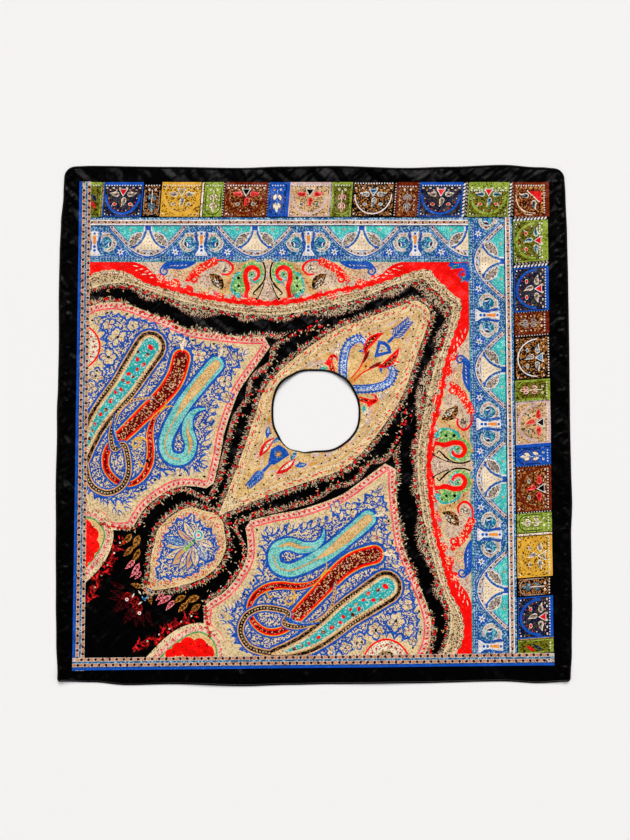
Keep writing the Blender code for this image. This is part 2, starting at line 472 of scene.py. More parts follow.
def flower(p, q, radius, petals, turn, heart):
    """Uneven cream petals about a heart, over a larger copy in blue."""
    source = random.Random(int(p * 7 + q))
    rows = [(turn + 360 * index / petals + source.uniform(-13, 13), source.uniform(0.78, 1.12),
             source.uniform(3.0, 3.9), source.uniform(-20, 20)) for index in range(petals)]
    for longer, wider, ink, blunt in ((1.26, 1.34, "royal", 0.62), (1, 1, "cream", 0.66)):
        for way, long, wide, bend in rows:
            leaf(p, q, way, radius * long * longer, radius * wide * wider / petals, ink,
                 bend=bend, blunt=blunt)
    spot(p, q, radius * 0.2, heart, corners=5, squash=0.7, turn=turn)


def spiral(p, q, radius, turns, start, width, ink, sides=2, way=1, inner=0.12):
    """A scroll that winds in to its middle."""
    steps = max(8, int(9 * turns))
    line = []
    for step in range(steps + 1):
        share = step / steps
        angle = math.radians(start) + way * 2 * math.pi * turns * share
        reach = radius * (1 - (1 - inner) * share)
        line.append((p + reach * math.cos(angle), q + reach * math.sin(angle)))
    line_of(line, width, ink, sides, steps=0, taper=((0, 1), (0.7, 0.8), (1, 0.5)))


def swelling(knots, widths, layers):
    """A long form along a spine, in layers from the outside in, with a round head at its start.

    widths gives the half width at shares of the length, and each layer an inset and an ink.
    """
    line = curve(knots)
    half = np.interp(np.linspace(0, 1, len(line)), *zip(*widths))
    head_way = math.degrees(math.atan2(*(line[0] - line[1])[::-1]))
    for inset, ink in layers:
        reach = half - inset
        edge = normals_of(line) * reach[:, None]
        left, right = line + edge, line - edge
        for index in range(len(line) - 1):
            if reach[index:index + 2].min() > THINNEST:
                art.fill([right[index], right[index + 1], left[index + 1], left[index]], ink)
        if reach[0] > THINNEST:
            spot(*line[0], reach[0], ink, corners=14, turn=head_way)


LOBE_CORNERS = 6
SCALLOP_CORNERS = 4


def lobed(line, pitch, depth, seed):
    """A line as a run of uneven leaf-like lobes on its left, each leaning its own way."""
    source = random.Random(seed)
    points = []
    for index, (p, q, way) in enumerate(evenly(line, pitch / LOBE_CORNERS, 0)):
        if index % LOBE_CORNERS == 0:
            size, lean = source.uniform(0.35, 1.25), source.uniform(-0.5, 0.5) * pitch
        swell = math.sin(math.pi * (index % LOBE_CORNERS) / LOBE_CORNERS)
        points.append(moved(p, q, way, lean * swell, depth * size * (swell - 0.2)))
    return points


def scalloped(line, pitch, depth):
    """A line as a run of round bites to its left."""
    return [moved(*place, 0, depth * (abs(math.sin(math.pi * index / SCALLOP_CORNERS)) - 0.4))
            for index, place in enumerate(evenly(line, pitch / SCALLOP_CORNERS, 0))]


def this_side(line, gap):
    """The part of a line that is at least a gap to the left of the diagonal."""
    return [point for point in line if point[1] > point[0] + gap]


def folded_over(line):
    """A line from the left side to the diagonal, and on as its own reflection."""
    line = this_side(line, DIAGONAL_GAP)
    return line + [reflected(point) for point in reversed(line)]


# -------- the print's grounds

FIELD_LEFT = 12  # the field runs under the guard strips a little
FIELD_TOP = 697

# The red strip's scalloped edge, from the left side to the diagonal.
RED_EDGE = (
    (12, 664), (38, 679), (64, 683), (92, 678), (125, 660), (170, 647), (220, 634), (280, 624),
    (340, 620), (400, 627), (460, 643), (520, 654), (562, 668), (600, 681), (625, 683), (637, 668),
    (652, 655),
)
# The inner edge of the dotted tan band inside it.
TAN_EDGE = (
    (12, 643), (40, 654), (70, 660), (100, 657), (150, 640), (220, 621), (300, 607), (370, 606),
    (440, 619), (500, 633), (557, 655), (602, 667), (619, 666), (630, 650), (642, 645),
)
# The black ground between the two beds of small flowers.
BLACK_EDGE = (
    (12, 632), (43, 648), (72, 652), (98, 647), (128, 628), (151, 631), (187, 610), (220, 599),
    (250, 604), (278, 603), (295, 592), (330, 597), (372, 592), (400, 604), (455, 600), (500, 614),
    (530, 633), (565, 636), (592, 654), (612, 640), (622, 626),
)
# The bed of small flowers round the left panel, clockwise from the left side.
BED_TOP = (
    (12, 628), (50, 637), (86, 634), (121, 613), (165, 603), (192, 586), (225, 586), (273, 573),
    (333, 578), (365, 574), (400, 584), (436, 593),
)
BED_RIGHT = (
    (436, 593), (415, 577), (385, 563), (357, 543), (352, 517), (320, 491), (310, 455), (290, 424),
    (279, 387), (270, 352), (262, 318), (247, 285), (240, 275),
)
BED_FOOT = (
    (240, 275), (220, 283), (187, 296), (150, 274), (128, 250), (120, 235), (92, 229), (72, 233),
    (12, 236),
)
# The panel's rose line, clockwise from the left side, in four runs that meet at points.
PANEL_TOP = (
    (12, 599), (40, 612), (72, 615), (105, 607), (150, 588), (200, 568), (250, 560), (300, 555),
    (334, 555),
)
PANEL_RIGHT = (
    (334, 555), (318, 532), (298, 505), (279, 476), (265, 440), (253, 402), (246, 362), (235, 316),
)
PANEL_FOOT = (
    (235, 316), (210, 320), (178, 318), (145, 301), (118, 278), (102, 254), (97, 246),
)
PANEL_TAIL = (
    (97, 246), (70, 246), (55, 262), (36, 269), (12, 269),
)
# The long medallion's upper left edge, from its lower point to its upper one.
SPINDLE_EDGE = (
    (252, 252), (266, 287), (284, 333), (301, 380), (317, 427), (334, 474), (368, 513), (412, 548),
    (463, 580), (528, 604), (588, 626), (602, 629), (618, 621),
)
# The pear-shaped medallion's outline, anticlockwise from where it meets the long one.
PEAR = (
    (250, 262), (232, 266), (214, 272), (192, 269), (170, 255), (150, 235), (144, 210), (138, 188),
    (137, 160), (132, 134), (158, 133), (188, 139), (214, 146), (238, 158), (258, 178), (268, 204),
    (266, 228), (262, 248),
)
PEAR_RING = (
    (248, 285), (233, 277), (208, 291), (186, 295), (158, 279), (134, 262), (122, 234), (121, 200),
    (124, 175), (122, 146), (116, 118), (140, 117), (172, 124), (204, 124), (240, 126), (266, 138),
    (283, 162), (299, 190), (295, 212), (280, 237), (289, 252),
)
PEAR_CORE = (
    (206, 257), (181, 249), (166, 227), (157, 208), (152, 180), (150, 152), (178, 152), (204, 158),
    (224, 170), (245, 185), (253, 210), (238, 236), (222, 247),
)


# The rows of thin leaves in a bed of small flowers, from its far edge to its root, as shares
# of its reach.
BED_ROWS = (
    # near, far, ink
    (0.45, 1.15, "bed"), (0.20, 0.62, "bed rose"), (0.0, 0.16, "night"),
)


SPIKE_PITCH = 1.7


def combed(line, near, far, seed):
    """A line broken into fine spikes that reach from near to far on its left."""
    source = random.Random(seed)
    points = []
    for index, (p, q, way) in enumerate(evenly(line, SPIKE_PITCH)):
        out = near + (far - near) * (source.uniform(0.35, 1.0) if index % 2 else
                                     source.uniform(0, 0.15))
        points.append(moved(p, q, way + source.uniform(-14, 14), 0, out))
    return points


def draw_bed(line, reach, seed, sides=2, close=list):
    """Fine leaves out from a line, in rows on black. close turns a run into a whole outline."""
    for number, (near, far, ink) in enumerate(BED_ROWS):
        edge = combed(line, near * reach, far * reach, seed + number)
        art.fill(close(edge), ink, sides, number == 0)


def draw_grounds():
    """The large shapes, from the border strips in to the medallions."""
    art.fill([(FIELD_LEFT, 8), (694, 8), (694, FIELD_TOP + 1), (FIELD_LEFT, FIELD_TOP + 1)],
             "red", 1, True)

    def to_corner(line):
        return folded_over(line) + [(FIELD_LEFT, 12)]

    art.fill(to_corner(scalloped(curve(RED_EDGE), 17, 2.4)), "tan dots", 1, True)
    art.fill(to_corner(curve(TAN_EDGE)), "bed", 1, True)
    black = curve(BLACK_EDGE)
    art.fill(to_corner(combed(black, 2.5, 6, 3)), "bed rose", 1)
    art.fill(to_corner(combed(black, 3.5, -3.5, 2)), "night", 1, True)
    bed = curve(BED_TOP) + curve(BED_RIGHT)[1:] + curve(BED_FOOT)[1:]
    draw_bed(offset(bed, -13), 13, 4)
    draw_panel_ground()
    edge = curve(SPINDLE_EDGE)
    art.fill(combed(curve(PEAR_RING, closed=True), -1, 2, 30), "night", 1)
    draw_bed(edge, 12, 8, 1, folded_over)
    draw_bed(curve(PEAR, closed=True)[::-1], 13, 20, 1)
    art.fill(folded_over(edge), "cream", 1, True)
    art.fill(curve(PEAR, closed=True), "cream", 1, True)


def draw_panel_ground():
    """The left panel: a cream line, a pink band with its line, and the ground inside."""
    runs = [curve(run) for run in (PANEL_TOP, PANEL_RIGHT, PANEL_FOOT, PANEL_TAIL)]
    for out, ink in ((11.5, "cream"), (9.5, "pink cream"), (1.4, "rose"), (-1.4, "tan")):
        edge = [point for run in runs for point in offset(run, out)]
        art.fill(edge, ink, through=True)


draw_grounds()


# -------- guard strips and bands

LEANS_ABOUT = 807  # the height at which a leaning joint stands in its place
PATCH_LEAN = 0.075
PATCH_FOOT = 777
PATCH_TOP = 838
BEAD_PITCH = 12.2


def leaning(p, q, lean=PATCH_LEAN):
    """A place, moved as the upright joints lean there."""
    return p + lean * (q - LEANS_ABOUT), q


def all_leaning(places):
    """Places, each moved as the upright joints lean there."""
    return [leaning(*place) for place in places]


def rectangle(left, foot, right, top, lean=0.0):
    """An upright rectangle, its sides leaning to the right if wanted."""
    corners = ((left, foot), (right, foot), (right, top), (left, top))
    return [leaning(p, q, lean) for p, q in corners]


def in_row(middle, count, pitch):
    """Places in a row about a middle."""
    return [middle + (index - (count - 1) / 2) * pitch for index in range(count)]


def arc_of(p, q, across, up, degrees):
    """Places round an ellipse."""
    turns = [math.radians(angle) for angle in degrees]
    return [(p + across * math.cos(turn), q + up * math.sin(turn)) for turn in turns]


def beside(middle, side, *places):
    """Places given by how far they lie from an upright middle line, to one side of it."""
    return [(middle + side * away, q) for away, q in places]


def diamonds(places, radius, ink):
    """A small diamond at each place."""
    for p, q in places:
        spot(p, q, radius, ink, corners=4)


GUARD_LAYERS = (
    # from, to, ink
    (0, 4.4, "bright blue"), (4.4, 5.4, "navy"), (5.4, 11.5, "strip cream"),
    (11.5, 14.6, "steel"), (14.6, 21, "strip cream"),
)
GUARD_ROWS = (8.5, 17.8)  # how far in the beads of each strip lie


def draw_guard(start, end, inward):
    """Two beaded strips between blue lines, along one side of the print."""
    start, end, inward = (np.array(v, float) for v in (start, end, inward))
    for near, far, ink in GUARD_LAYERS:
        art.fill([start + inward * near, end + inward * near, end + inward * far,
                  start + inward * far], ink, 1, ink == "strip cream")
    length = np.linalg.norm(end - start)
    way = (end - start) / length
    long, short = way * 2.9, inward * 2.1
    for row, middle in enumerate(GUARD_ROWS):
        for index in range(int(length / BEAD_PITCH) - 1):
            at = start + way * BEAD_PITCH * (index + 0.3 + 0.5 * row) + inward * middle
            art.fill([at - long - short, at + long - short, at + long + short,
                      at - long + short], "orange bead", 1)
            spot(*(at + way * BEAD_PITCH / 2), 2.7, "maroon bead", 1, 5)


# The patches along the top, from left to right. The head is the plain height over the beads.
PATCHES = (
    # start, end, style, head, frame, ground, bowl, petal, heart, bud, tip, tuft
    (22, 44, "part", 6, "light green", "olive", "olive", "navy", "navy", "red", "red", "white"),
    (47, 117, "wide", 6, "bright blue", "blue night", "bright blue", "grey petal", "bead black",
     "bud", "bud", "pink cream"),
    (117, 150, "narrow", 6, "black", "dark specks", "grey petal", "slate", "teal",
     "orange bead", "white", "white"),
    (150, 221, "wide", 6, "gold", "mustard", "gold", "grey petal", "slate",
     "grey petal", "ochre bead", "maroon bead"),
    (226, 259, "narrow", 6, "light green", "light green", "dark line", "pale cream",
     "light green", "pale cream", "pale cream", "pale cream"),
    (262, 338, "wide", 6, "rust", "brown", "rust", "bud", "brown", "slate", "black", "tan"),
    (340, 371, "narrow", 6, "royal", "royal", "navy", "pale cream", "pale cream", "rust",
     "sky", "pale cream"),
    (377, 449, "wide", 6, "pale pink", "peach", "pale pink", "bud", "brown", "slate", "black",
     "grey petal"),
    (452, 488, "narrow", 6, "light green", "olive", "light green", "pink cream", "maroon bead",
     "maroon bead", "pale cream", "pale cream"),
    (488, 563, "wide", 2, "black", "dark specks", "white", "steel", "ochre", "steel pale",
     "steel", "ochre"),
    (567, 605, "narrow", 8, "rust", "brown", "rust", "grey petal", "navy", "pale cream",
     "grey petal", "pale cream"),
    (607, 684, "wide", 6, "bright blue", "blue night", "royal", "grey petal", "bead black",
     "bud", "bud", "pink cream"),
    (694, 766, "wide", 15, "light green", "olive", "light green", "teal", "navy", "bud", "bud",
     "white"),
)
JOINTS = (
    # start, end, ink, beads
    (44, 45.2, "bead black", None), (45.2, 47, "ochre bead", None),
    (219.5, 221, "black", None), (221, 224.6, "pale cream", None),
    (259, 262, "black", "white"), (338, 340, "black", "white"),
    (369.5, 371, "navy", None), (371, 377, "bright blue", None),
    (449, 452, "grey petal", None), (563, 567, "black", "pale pink"),
    (604.5, 607, "black", "pale pink"), (684, 694, "black", "plait"),
    (766, 776, "black", "plait"),
)


def patch_spot(p, q, radius, ink, **shape):
    """A spot on a patch."""
    spot(*leaning(p, q), radius, ink, **shape)


def curled(p, q, turn, bend, length, width, inks):
    """A small curled paisley with a round head: its edge, its body and its heart."""
    cos, sin = math.cos(math.radians(turn)), math.sin(math.radians(turn))
    for wide, tail, ink in zip((1.0, 0.68, 0.26), (1.0, 0.84, 0.5), inks):
        spot(p + cos * width * 0.5, q + sin * width * 0.5, width * wide * 0.5, ink, corners=9)
        leaf(p + cos * width * (0.5 - 0.5 * wide), q + sin * width * (0.5 - 0.5 * wide), turn,
             length * tail, width * wide * 0.98, ink, bend=bend * tail, blunt=0.3)


def draw_patch(start, end, style, head, frame, ground, *inks):
    """One patch: its frame, the beads along its top, and the sprays for its style."""
    middle, half = (start + end) / 2, (end - start) / 2
    art.fill(rectangle(start, PATCH_FOOT, end, PATCH_TOP, PATCH_LEAN), frame, through=True)
    art.fill(rectangle(start + 2, PATCH_FOOT + 1.5, end - 2, PATCH_TOP - head, PATCH_LEAN),
             ground)
    beads = in_row(middle, int((end - start - 4) / 4.7), 4.7)
    diamonds([leaning(p, PATCH_TOP - head) for p in beads], 1.55, "white")
    if style == "part":
        leaf(*leaning(26, 818), -60, 18, 5, "navy")
        leaf(*leaning(25, 806), -60, 18, 6, "bud")
    elif style == "narrow":
        draw_narrow_spray(middle, half, *inks)
    else:
        draw_wide_spray(middle, half, *inks)


def draw_wide_spray(middle, half, bowl, petal, heart, bud, tip, tuft):
    """A row of tufts, then a pair of curled paisleys over a third, in a wide bowl."""
    edge = "rose" if petal == "bud" else "pale cream"
    for share in (-0.83, -0.5, -0.17, 0.17, 0.5, 0.83):
        patch_spot(middle + share * half, 827.5, 2.6, "pale cream", corners=4, squash=0.7)
        patch_spot(middle + share * half, 828, 1.1, tuft, corners=4)
    for share in (-0.66, -0.34, 0.34, 0.66):
        patch_spot(middle + share * half, 824, 2.0, tuft, corners=5, squash=0.6)
    line_of(all_leaning(arc_of(middle, 816, half - 5, 34, range(180, 361, 15))),
            2.2 if bowl == "white" else 4.4, bowl, steps=0)
    for index, place in enumerate(arc_of(middle, 814, half - 10, 27, range(190, 351, 16))):
        patch_spot(*place, 1.4, (tuft, bud)[index % 2], corners=4)
    for side in (-1, 1):
        curled(*leaning(middle + side * 7.5, 819), 212 if side < 0 else -32, side * 34, 17,
               9.5, (edge, petal, heart))
        for radius, ink in ((4.4, "pale cream"), (3.2, bud)):
            patch_spot(middle + side * 14, 799, radius, ink, corners=6, squash=0.7)
        for inward, q, radius, ink in ((5, 782, 1.8, "white"), (10, 780.5, 1.2, tuft),
                                       (4.5, 788, 1.2, tuft), (16, 780, 1.0, tuft)):
            patch_spot(middle + side * (half - inward), q, radius, ink, corners=4)
    curled(*leaning(middle + 1.5, 811), -82, -26, 18, 9, (edge, petal, heart))
    for reach, high, low, ink in ((8.4, 826, 812, "white"), (6.4, 825, 814.5, tip)):
        art.fill(all_leaning([(middle - reach, high), (middle, low), (middle + reach, high)]),
                 ink)


def draw_narrow_spray(middle, half, bowl, petal, heart, bud, tip, tuft):
    """A sprig that hangs down with two pairs of leaves and one alone, in a round-footed bow."""
    bow = arc_of(middle, 793, half - 3, 12, range(180, 361, 20))
    bow = [(bow[0][0], 822)] + bow + [(bow[-1][0], 822)]
    line_of(all_leaning(bow), 1.5, bowl, steps=0)
    line_of(all_leaning([(middle, 796), (middle, 824)]), 1.5, tip, steps=0)
    for side in (-1, 1):
        patch_spot(middle + side * 5.5, 824.5, 2.4, tuft, corners=5)
        patch_spot(middle + side * 5.5, 824.5, 1.0, bud, corners=4)
        for up, away in ((818, 2.6), (803, 2.0)):
            for along, drop, length, width, ink in ((away, 0, 14, 8, "bead black"),
                                                    (away, 1, 12, 6, petal),
                                                    (away + 0.8, 4, 6.5, 2.2, heart)):
                leaf(*leaning(middle + side * along, up - drop), -90 + side * 17, length,
                     width, ink)
        for up in (813, 806, 797, 789):
            patch_spot(middle + side * (half - 6.5), up, 1.4, bud, corners=4)
    leaf(*leaning(middle, 797), -90, 13, 6, petal)
    leaf(*leaning(middle, 794), -90, 7, 2.2, heart)


def draw_corner_patch():
    """The patch at the corner, its own reflection: a tip, a pair of paisleys and a bow."""
    art.fill([(776, 777), (838, 777), (838, 838), (774, 838)], "rust", 1, True)
    art.fill([(778, 779), (832, 779), (832, 832), (778, 832)], "brown", 1)
    for index in range(12):
        spot(780 + index * 4.4, 832, 1.6, "white", corners=4)
        leaf(782 + index * 4.2, 826, 60 if index % 2 else 110, 6, 2, "ochre")
    line_of(((779, 816), (781, 802), (786, 792), (791, 788)), 1.6, "pale cream")
    line_of(((791, 788), (794, 785), (796, 781), (808, 780)), 1.6, "pale cream", 1)
    art.fill([(802, 822), (824, 822), (824, 800)], "bud", 1)
    line_of(((800, 824), (800.5, 821), (812, 810)), 1.6, "pale cream")
    curled(801, 817, 225, -50, 17, 9, ("pale cream", "slate", "black"))
    leaf(799, 802, 225, 9, 4, "bead black")
    diamonds(((786, 812), (790, 798), (784, 782), (818, 786), (806, 790)), 1.3, "ochre")


UNDER_PATCHES = (
    # foot, top, ink
    (775.2, 777, "black"), (771.4, 775.2, "steel"), (769.6, 771.4, "white"),
    (764.2, 769.6, "strip cream"), (761.8, 764.2, "white"), (759.8, 761.8, "navy"),
)
UNDER_WAVE = (
    # foot, top, ink
    (697, 700.2, "teal"), (703.4, 704.6, "band blue"), (706.6, 708, "band blue"),
)
WAVE_REPEAT = 189
FIRST_FAN = 127.5
WAVE_FOOT = 705
WAVE_TOP = 761.8


def wave_rise(away):
    """How high the wave stands at a distance from the middle of its fan."""
    return 711.5 + 50 * (1 - math.cos(math.pi * min(abs(away), 67.5) / 134))


WAVE_LAYERS = (
    # below, ink: nested from the outside of the wave in to its fan
    (15.5, "teal"), (13.8, "steel"), (10.5, "band blue"), (8.8, "steel pale"),
    (6.6, "band blue"), (4.2, "white"), (3.0, "strip cream"), (-3.0, "white"),
    (-4.2, "band blue"), (-5.8, "steel pale"), (-7.6, "bright turquoise"),
)
# The fan's own outline on its right, from its neck down to its hem.
FAN_SIDE = ((5, 741), (12, 730), (23, 722), (12, 718))


def draw_fan(centre):
    """The half-round fan inside a dip of the wave."""
    for below, ink in WAVE_LAYERS:
        reach = [away for away in range(-67, 68, 3) if wave_rise(away) - below < 761.5]
        edge = [(centre + away, max(wave_rise(away) - below, WAVE_FOOT)) for away in reach]
        art.fill(edge + [(centre + reach[-1] + 1, WAVE_TOP), (centre + reach[0] - 1, WAVE_TOP)],
                 ink)
    path = [(centre + away, wave_rise(away)) for away in range(-66, 67, 3)]
    spots_along(path, 6.2, 1.9, ("maroon bead", "orange bead"), corners=4)
    spots_along(offset(path, -12.2), 4.6, 0.9, "white", corners=4)
    spots_along(offset(path, 9.6)[3:-3], 5.0, 0.8, ("white", "teal"), corners=4)
    for side in (-1, 1):
        draw_pod(centre, side)
    art.fill([(centre, 754)] + beside(centre, 1, *FAN_SIDE) + [(centre, 717)]
             + beside(centre, -1, *FAN_SIDE[::-1]), "fan cream")
    for q, count in ((745, 1), (739, 1), (733, 2), (727, 3), (721.5, 5)):
        for index, p in enumerate(in_row(centre, count, 6)):
            spot(p, q, 1.2, ("orange bead", "steel")[(index + count) % 2], corners=4)
    art.fill(rectangle(centre - 5, 753, centre + 5, 762), "royal")
    for side in (-1, 1):
        art.fill(rectangle(centre + side * 6.2 - 1.2, 751, centre + side * 6.2 + 1.2, 762),
                 "white")
    for radius, ink in ((3.2, "white"), (1.5, "royal")):
        spot(centre, 711.5, radius, ink, corners=4)


def draw_pod(centre, side):
    """One side of the fan: small aqua marks, a pod, and the scroll between pod and fan."""
    pod = -36 if side > 0 else 216
    for away, q, radius in ((30, 755, 3.0), (19, 756, 2.2), (42, 756, 2.4), (33, 749, 2.0)):
        spot(centre + side * away, q, radius, "aqua", corners=5, squash=0.7)
    spot(centre + side * 31, 754, 2.4, "orange bead", corners=5)
    spot(centre + side * 31, 754, 1.0, "pale cream", corners=4)
    for away, q, length, width, ink in (
            (7.5, 750.5, 41, 21, "steel pale"), (8.5, 749.5, 38, 18, "white"),
            (9.5, 748.5, 35, 15, "grey specks"), (12, 746.5, 29, 8, "grey petal")):
        leaf(centre + side * away, q, pod, length, width, ink, bend=side * -10)
    for away in (18, 23, 28):
        leaf(centre + side * away, 741.5 - (away - 18) * 0.8, pod + side * 50, 4.6, 1.5,
             "bead black")
    stem = beside(centre, side, (4, 757), (6, 744), (13, 732), (26, 721))
    for width, ink in ((7.2, "white"), (5.6, "steel pale"), (2.6, "band blue")):
        line_of(stem, width, ink, steps=3)
    leaf(centre + side * 18, 723, 4 if side > 0 else 176, 13, 4.5, "royal")


# One half of a palmette, from the outside in: arcs about the scroll's middle.
SCROLL = (
    # radius, from_deg, to_deg, width, ink
    (14, 165, -110, 8.0, "white"), (14, 165, -105, 5.8, "strip cream"),
    (8.6, 130, -200, 4.4, "teal"), (10.6, 60, -150, 1.2, "white"),
)


def draw_palmette(centre):
    """A stem between two scrolls under a crest of the wave."""
    for radius in (46, 40):
        arch = arc_of(centre, 719, radius, radius - 4, range(-8, 189, 14))
        if radius == 40:
            line_of(arch, 2.6, "band blue", steps=0)
        spots_along(arch, 5, 0.9, ("white", "aqua"), corners=4)
    for across, up, ink in ((30, 18, "white"), (29, 16.6, "strip cream")):
        art.fill(arc_of(centre, 733, across, up, range(0, 181, 15)), ink)
    for side in (-1, 1):
        draw_scroll(centre, side)
    stem = ((6, 750), (4, 732), (5, 719), (10.5, 711), (10.5, 708))
    art.fill(beside(centre, -1, *stem) + beside(centre, 1, *stem[::-1]), "white")
    art.fill(beside(centre, -1, (3.4, 744), (1.8, 728))
             + beside(centre, 1, (1.8, 728), (3.4, 744)), "orange")
    for q, radius in ((747, 2.4), (724, 2.8), (717.5, 2.6)):
        spot(centre, q, radius, "royal", corners=6)
    diamonds([(p, 710.5) for p in in_row(centre, 3, 7)], 1.4, "orange bead")


def draw_scroll(centre, side):
    """One side of a palmette: its scroll, its leaves and the white flower at its foot."""
    middle = centre + side * 21
    spot(middle, 731, 14, "steel", corners=14)
    for radius, start, end, width, ink in SCROLL:
        line_of(arc_of(middle, 731, side * radius, radius, np.linspace(start, end, 14)), width,
                ink, steps=0, taper=((0, 1), (0.7, 1), (1, 0.35)))
    spots_along(arc_of(middle, 731, side * 14, 14, range(-60, 160, 20)), 6, 1.5,
                "orange bead", corners=4)
    for turn, length, ink in ((150, 11, "turquoise"), (185, 12, "royal"),
                              (215, 11, "white"), (235, 9, "maroon bead")):
        leaf(centre + side * 29, 733, turn if side > 0 else 180 - turn, length, 3.6, ink,
             bend=side * 30)
    art.fill(beside(centre, side, (8.5, 752), (6.2, 735), (5.6, 720), (10, 708.5), (13, 709),
                    (9.5, 720), (10.5, 735), (13, 747)), "band blue")
    art.fill(beside(centre, side, (34, 708.5), (62, 708.5), (45, 729)), "royal")
    for petal in range(6):
        leaf(centre + side * 46, 714.5, petal * 60 + 15, 7, 2.8, "white")
    spot(centre + side * 46, 714.5, 2, "olive", corners=5)
    diamonds(beside(centre, side, (45, 724), (52, 720), (38, 711), (57, 711)), 0.9, "white")


def draw_joint(start, end, ink, beads):
    """The strip between two patches, plain, beaded or plaited."""
    art.fill(rectangle(start, PATCH_FOOT, end, PATCH_TOP, PATCH_LEAN), ink)
    middle = (start + end) / 2
    if beads == "plait":
        for index in range(10):
            for side, strand in ((-1, "white"), (1, "grey petal")):
                patch_spot(middle + side * 2.3, PATCH_FOOT + 3 + index * 6.1 + side, 3.2,
                           strand, corners=6, squash=0.55, turn=side * -40)
    elif beads:
        places = [(middle, PATCH_FOOT + 3 + index * 4.6) for index in range(13)]
        diamonds(all_leaning(places), (end - start) * 0.4, beads)


def draw_top_band():
    """The wave band with the patches over it, from the left guard strip to the corner."""
    art.fill(rectangle(20, FIELD_TOP, 770, 762), "steel", through=True)
    for foot, top, ink in UNDER_WAVE:
        art.fill(rectangle(20, foot, 770, top), ink)
    for q, ink in ((698.6, "aqua"), (702, "white"), (705.6, "white")):
        diamonds([(24 + index * 5, q) for index in range(148)], 0.9, ink)
    art.reach = (8, 770)
    for index in range(-1, 4):
        draw_palmette(FIRST_FAN + WAVE_REPEAT * (index + 0.5))
    for index in range(4):
        draw_fan(FIRST_FAN + WAVE_REPEAT * index)
    art.reach = None
    for foot, top, ink in UNDER_PATCHES:
        art.fill(rectangle(20, foot, 772, top), ink)
    for index in range(61):
        at = 28 + index * BEAD_PITCH
        spot(at, 766.9, 2.2, "maroon bead", corners=4)
        art.fill(rectangle(at + 3.4, 764.9, at + 8.8, 768.9), "orange bead")
    diamonds([(24 + index * 5, 773.2) for index in range(150)], 1.1, "sky")
    for row in PATCHES:
        draw_patch(*row)
    for row in JOINTS:
        draw_joint(*row)


for far_side in (False, True):
    art.far_side = far_side
    draw_top_band()
art.far_side = False
draw_corner_patch()


# -------- the panel's paisleys

def draw_panel_edge():
    """Slanted red buds in the pink band round the panel, with small marks between them."""
    for run in (PANEL_TOP, PANEL_RIGHT, PANEL_FOOT, PANEL_TAIL):
        line = offset(curve(run), 5.8)
        for p, q, way in evenly(line, 8.8):
            spot(p, q, 2.9, "bud", corners=6, squash=0.62, turn=way + 60)
        spots_along(offset(line, -2.2), 8.8, 1.1, "pale cream", corners=4, start=0.0)
        spots_along(offset(line, 3.0), 8.8, 1.1, "rose", corners=4, start=0.0)


# The blue ground inside the panel, clear of its flowered edge, anticlockwise.
BLUE_GROUND = (
    (34, 300), (70, 282), (108, 292), (132, 316), (160, 332), (200, 334), (226, 340), (234, 380),
    (240, 420), (252, 458), (270, 496), (292, 530), (270, 546), (232, 548), (196, 562), (160, 576),
    (120, 592), (80, 600), (48, 598), (52, 566), (60, 520), (44, 486), (22, 470), (20, 400), (22, 340),
)


def draw_flowers():
    """The flowered edge: cream petals on blue, with black hearts and buds."""
    rows = (
        # p, q, radius, petals, turn, heart
        (76, 566, 17, 6, 20, "black"), (60, 531, 17, 6, 0, "black"), (60, 588, 11, 5, 30, "bud"),
        (102, 586, 12, 5, 50, "beige"), (128, 580, 10, 5, 10, "black"),
        (38, 498, 13, 5, 10, "black"), (30, 478, 11, 5, 40, "maroon"),
        (28, 452, 9, 5, 0, "beige"), (218, 534, 14, 6, 15, "bud"), (264, 489, 13, 5, 30, "black"),
        (262, 540, 11, 5, 0, "beige"), (286, 532, 9, 5, 20, "black"),
        (268, 462, 11, 5, 10, "maroon"), (42, 594, 8, 5, 0, "black"),
    )
    for row in rows:
        flower(*row)
    fringe = (
        # p, q, turn, length: pairs of leaves that reach in from the edge
        (252, 440, 178, 17), (250, 428, 190, 19), (247, 408, 172, 17), (246, 398, 196, 18),
        (243, 384, 180, 20), (242, 366, 158, 16), (240, 358, 184, 20), (238, 344, 140, 15),
        (229, 330, 112, 16), (214, 326, 96, 17), (205, 327, 62, 17), (196, 327, 118, 18),
        (183, 327, 78, 18), (176, 328, 140, 17), (160, 320, 96, 16), (150, 315, 150, 15),
        (138, 306, 110, 15), (126, 296, 168, 15), (118, 290, 128, 14), (108, 276, 150, 14),
        (102, 262, 118, 14), (86, 254, 96, 13), (72, 258, 70, 13), (58, 270, 84, 13),
        (44, 278, 60, 12), (150, 580, -60, 14), (168, 574, -96, 16), (180, 568, -50, 14),
        (196, 562, -110, 14), (204, 560, -52, 13), (228, 556, -120, 13), (240, 554, -60, 14),
        (298, 548, 215, 16), (310, 544, 200, 14), (262, 472, 170, 16), (256, 455, 190, 16),
    )
    for p, q, turn, length in fringe:
        leaf(p, q, turn, length * 1.22, length * 0.62, "royal", bend=18)
        leaf(p, q, turn, length, length * 0.44, "cream", bend=18)
    for p, q in ((57, 608), (31, 595), (208, 560), (245, 554), (187, 327), (230, 325), (144, 319),
                 (120, 303), (40, 507), (92, 606)):
        spot(p, q, 2.6, "black", corners=6, squash=0.7)


def draw_half_round():
    """The half flower that rests against the left guard strip."""
    for reach, ink in ((49.5, "red"), (46.2, "pale cream"), (31, "cream"), (28, "beige")):
        arc = arc_of(-14, 549, (reach + 12) * 0.98, reach * 0.94, range(-80, 81, 8))
        art.fill([(10, arc[0][1])] + arc + [(10, arc[-1][1])], ink)
    spots_along(arc_of(-14, 549, 49, 36, range(-60, 61, 5)), 9, 2.2, "bud", corners=5)


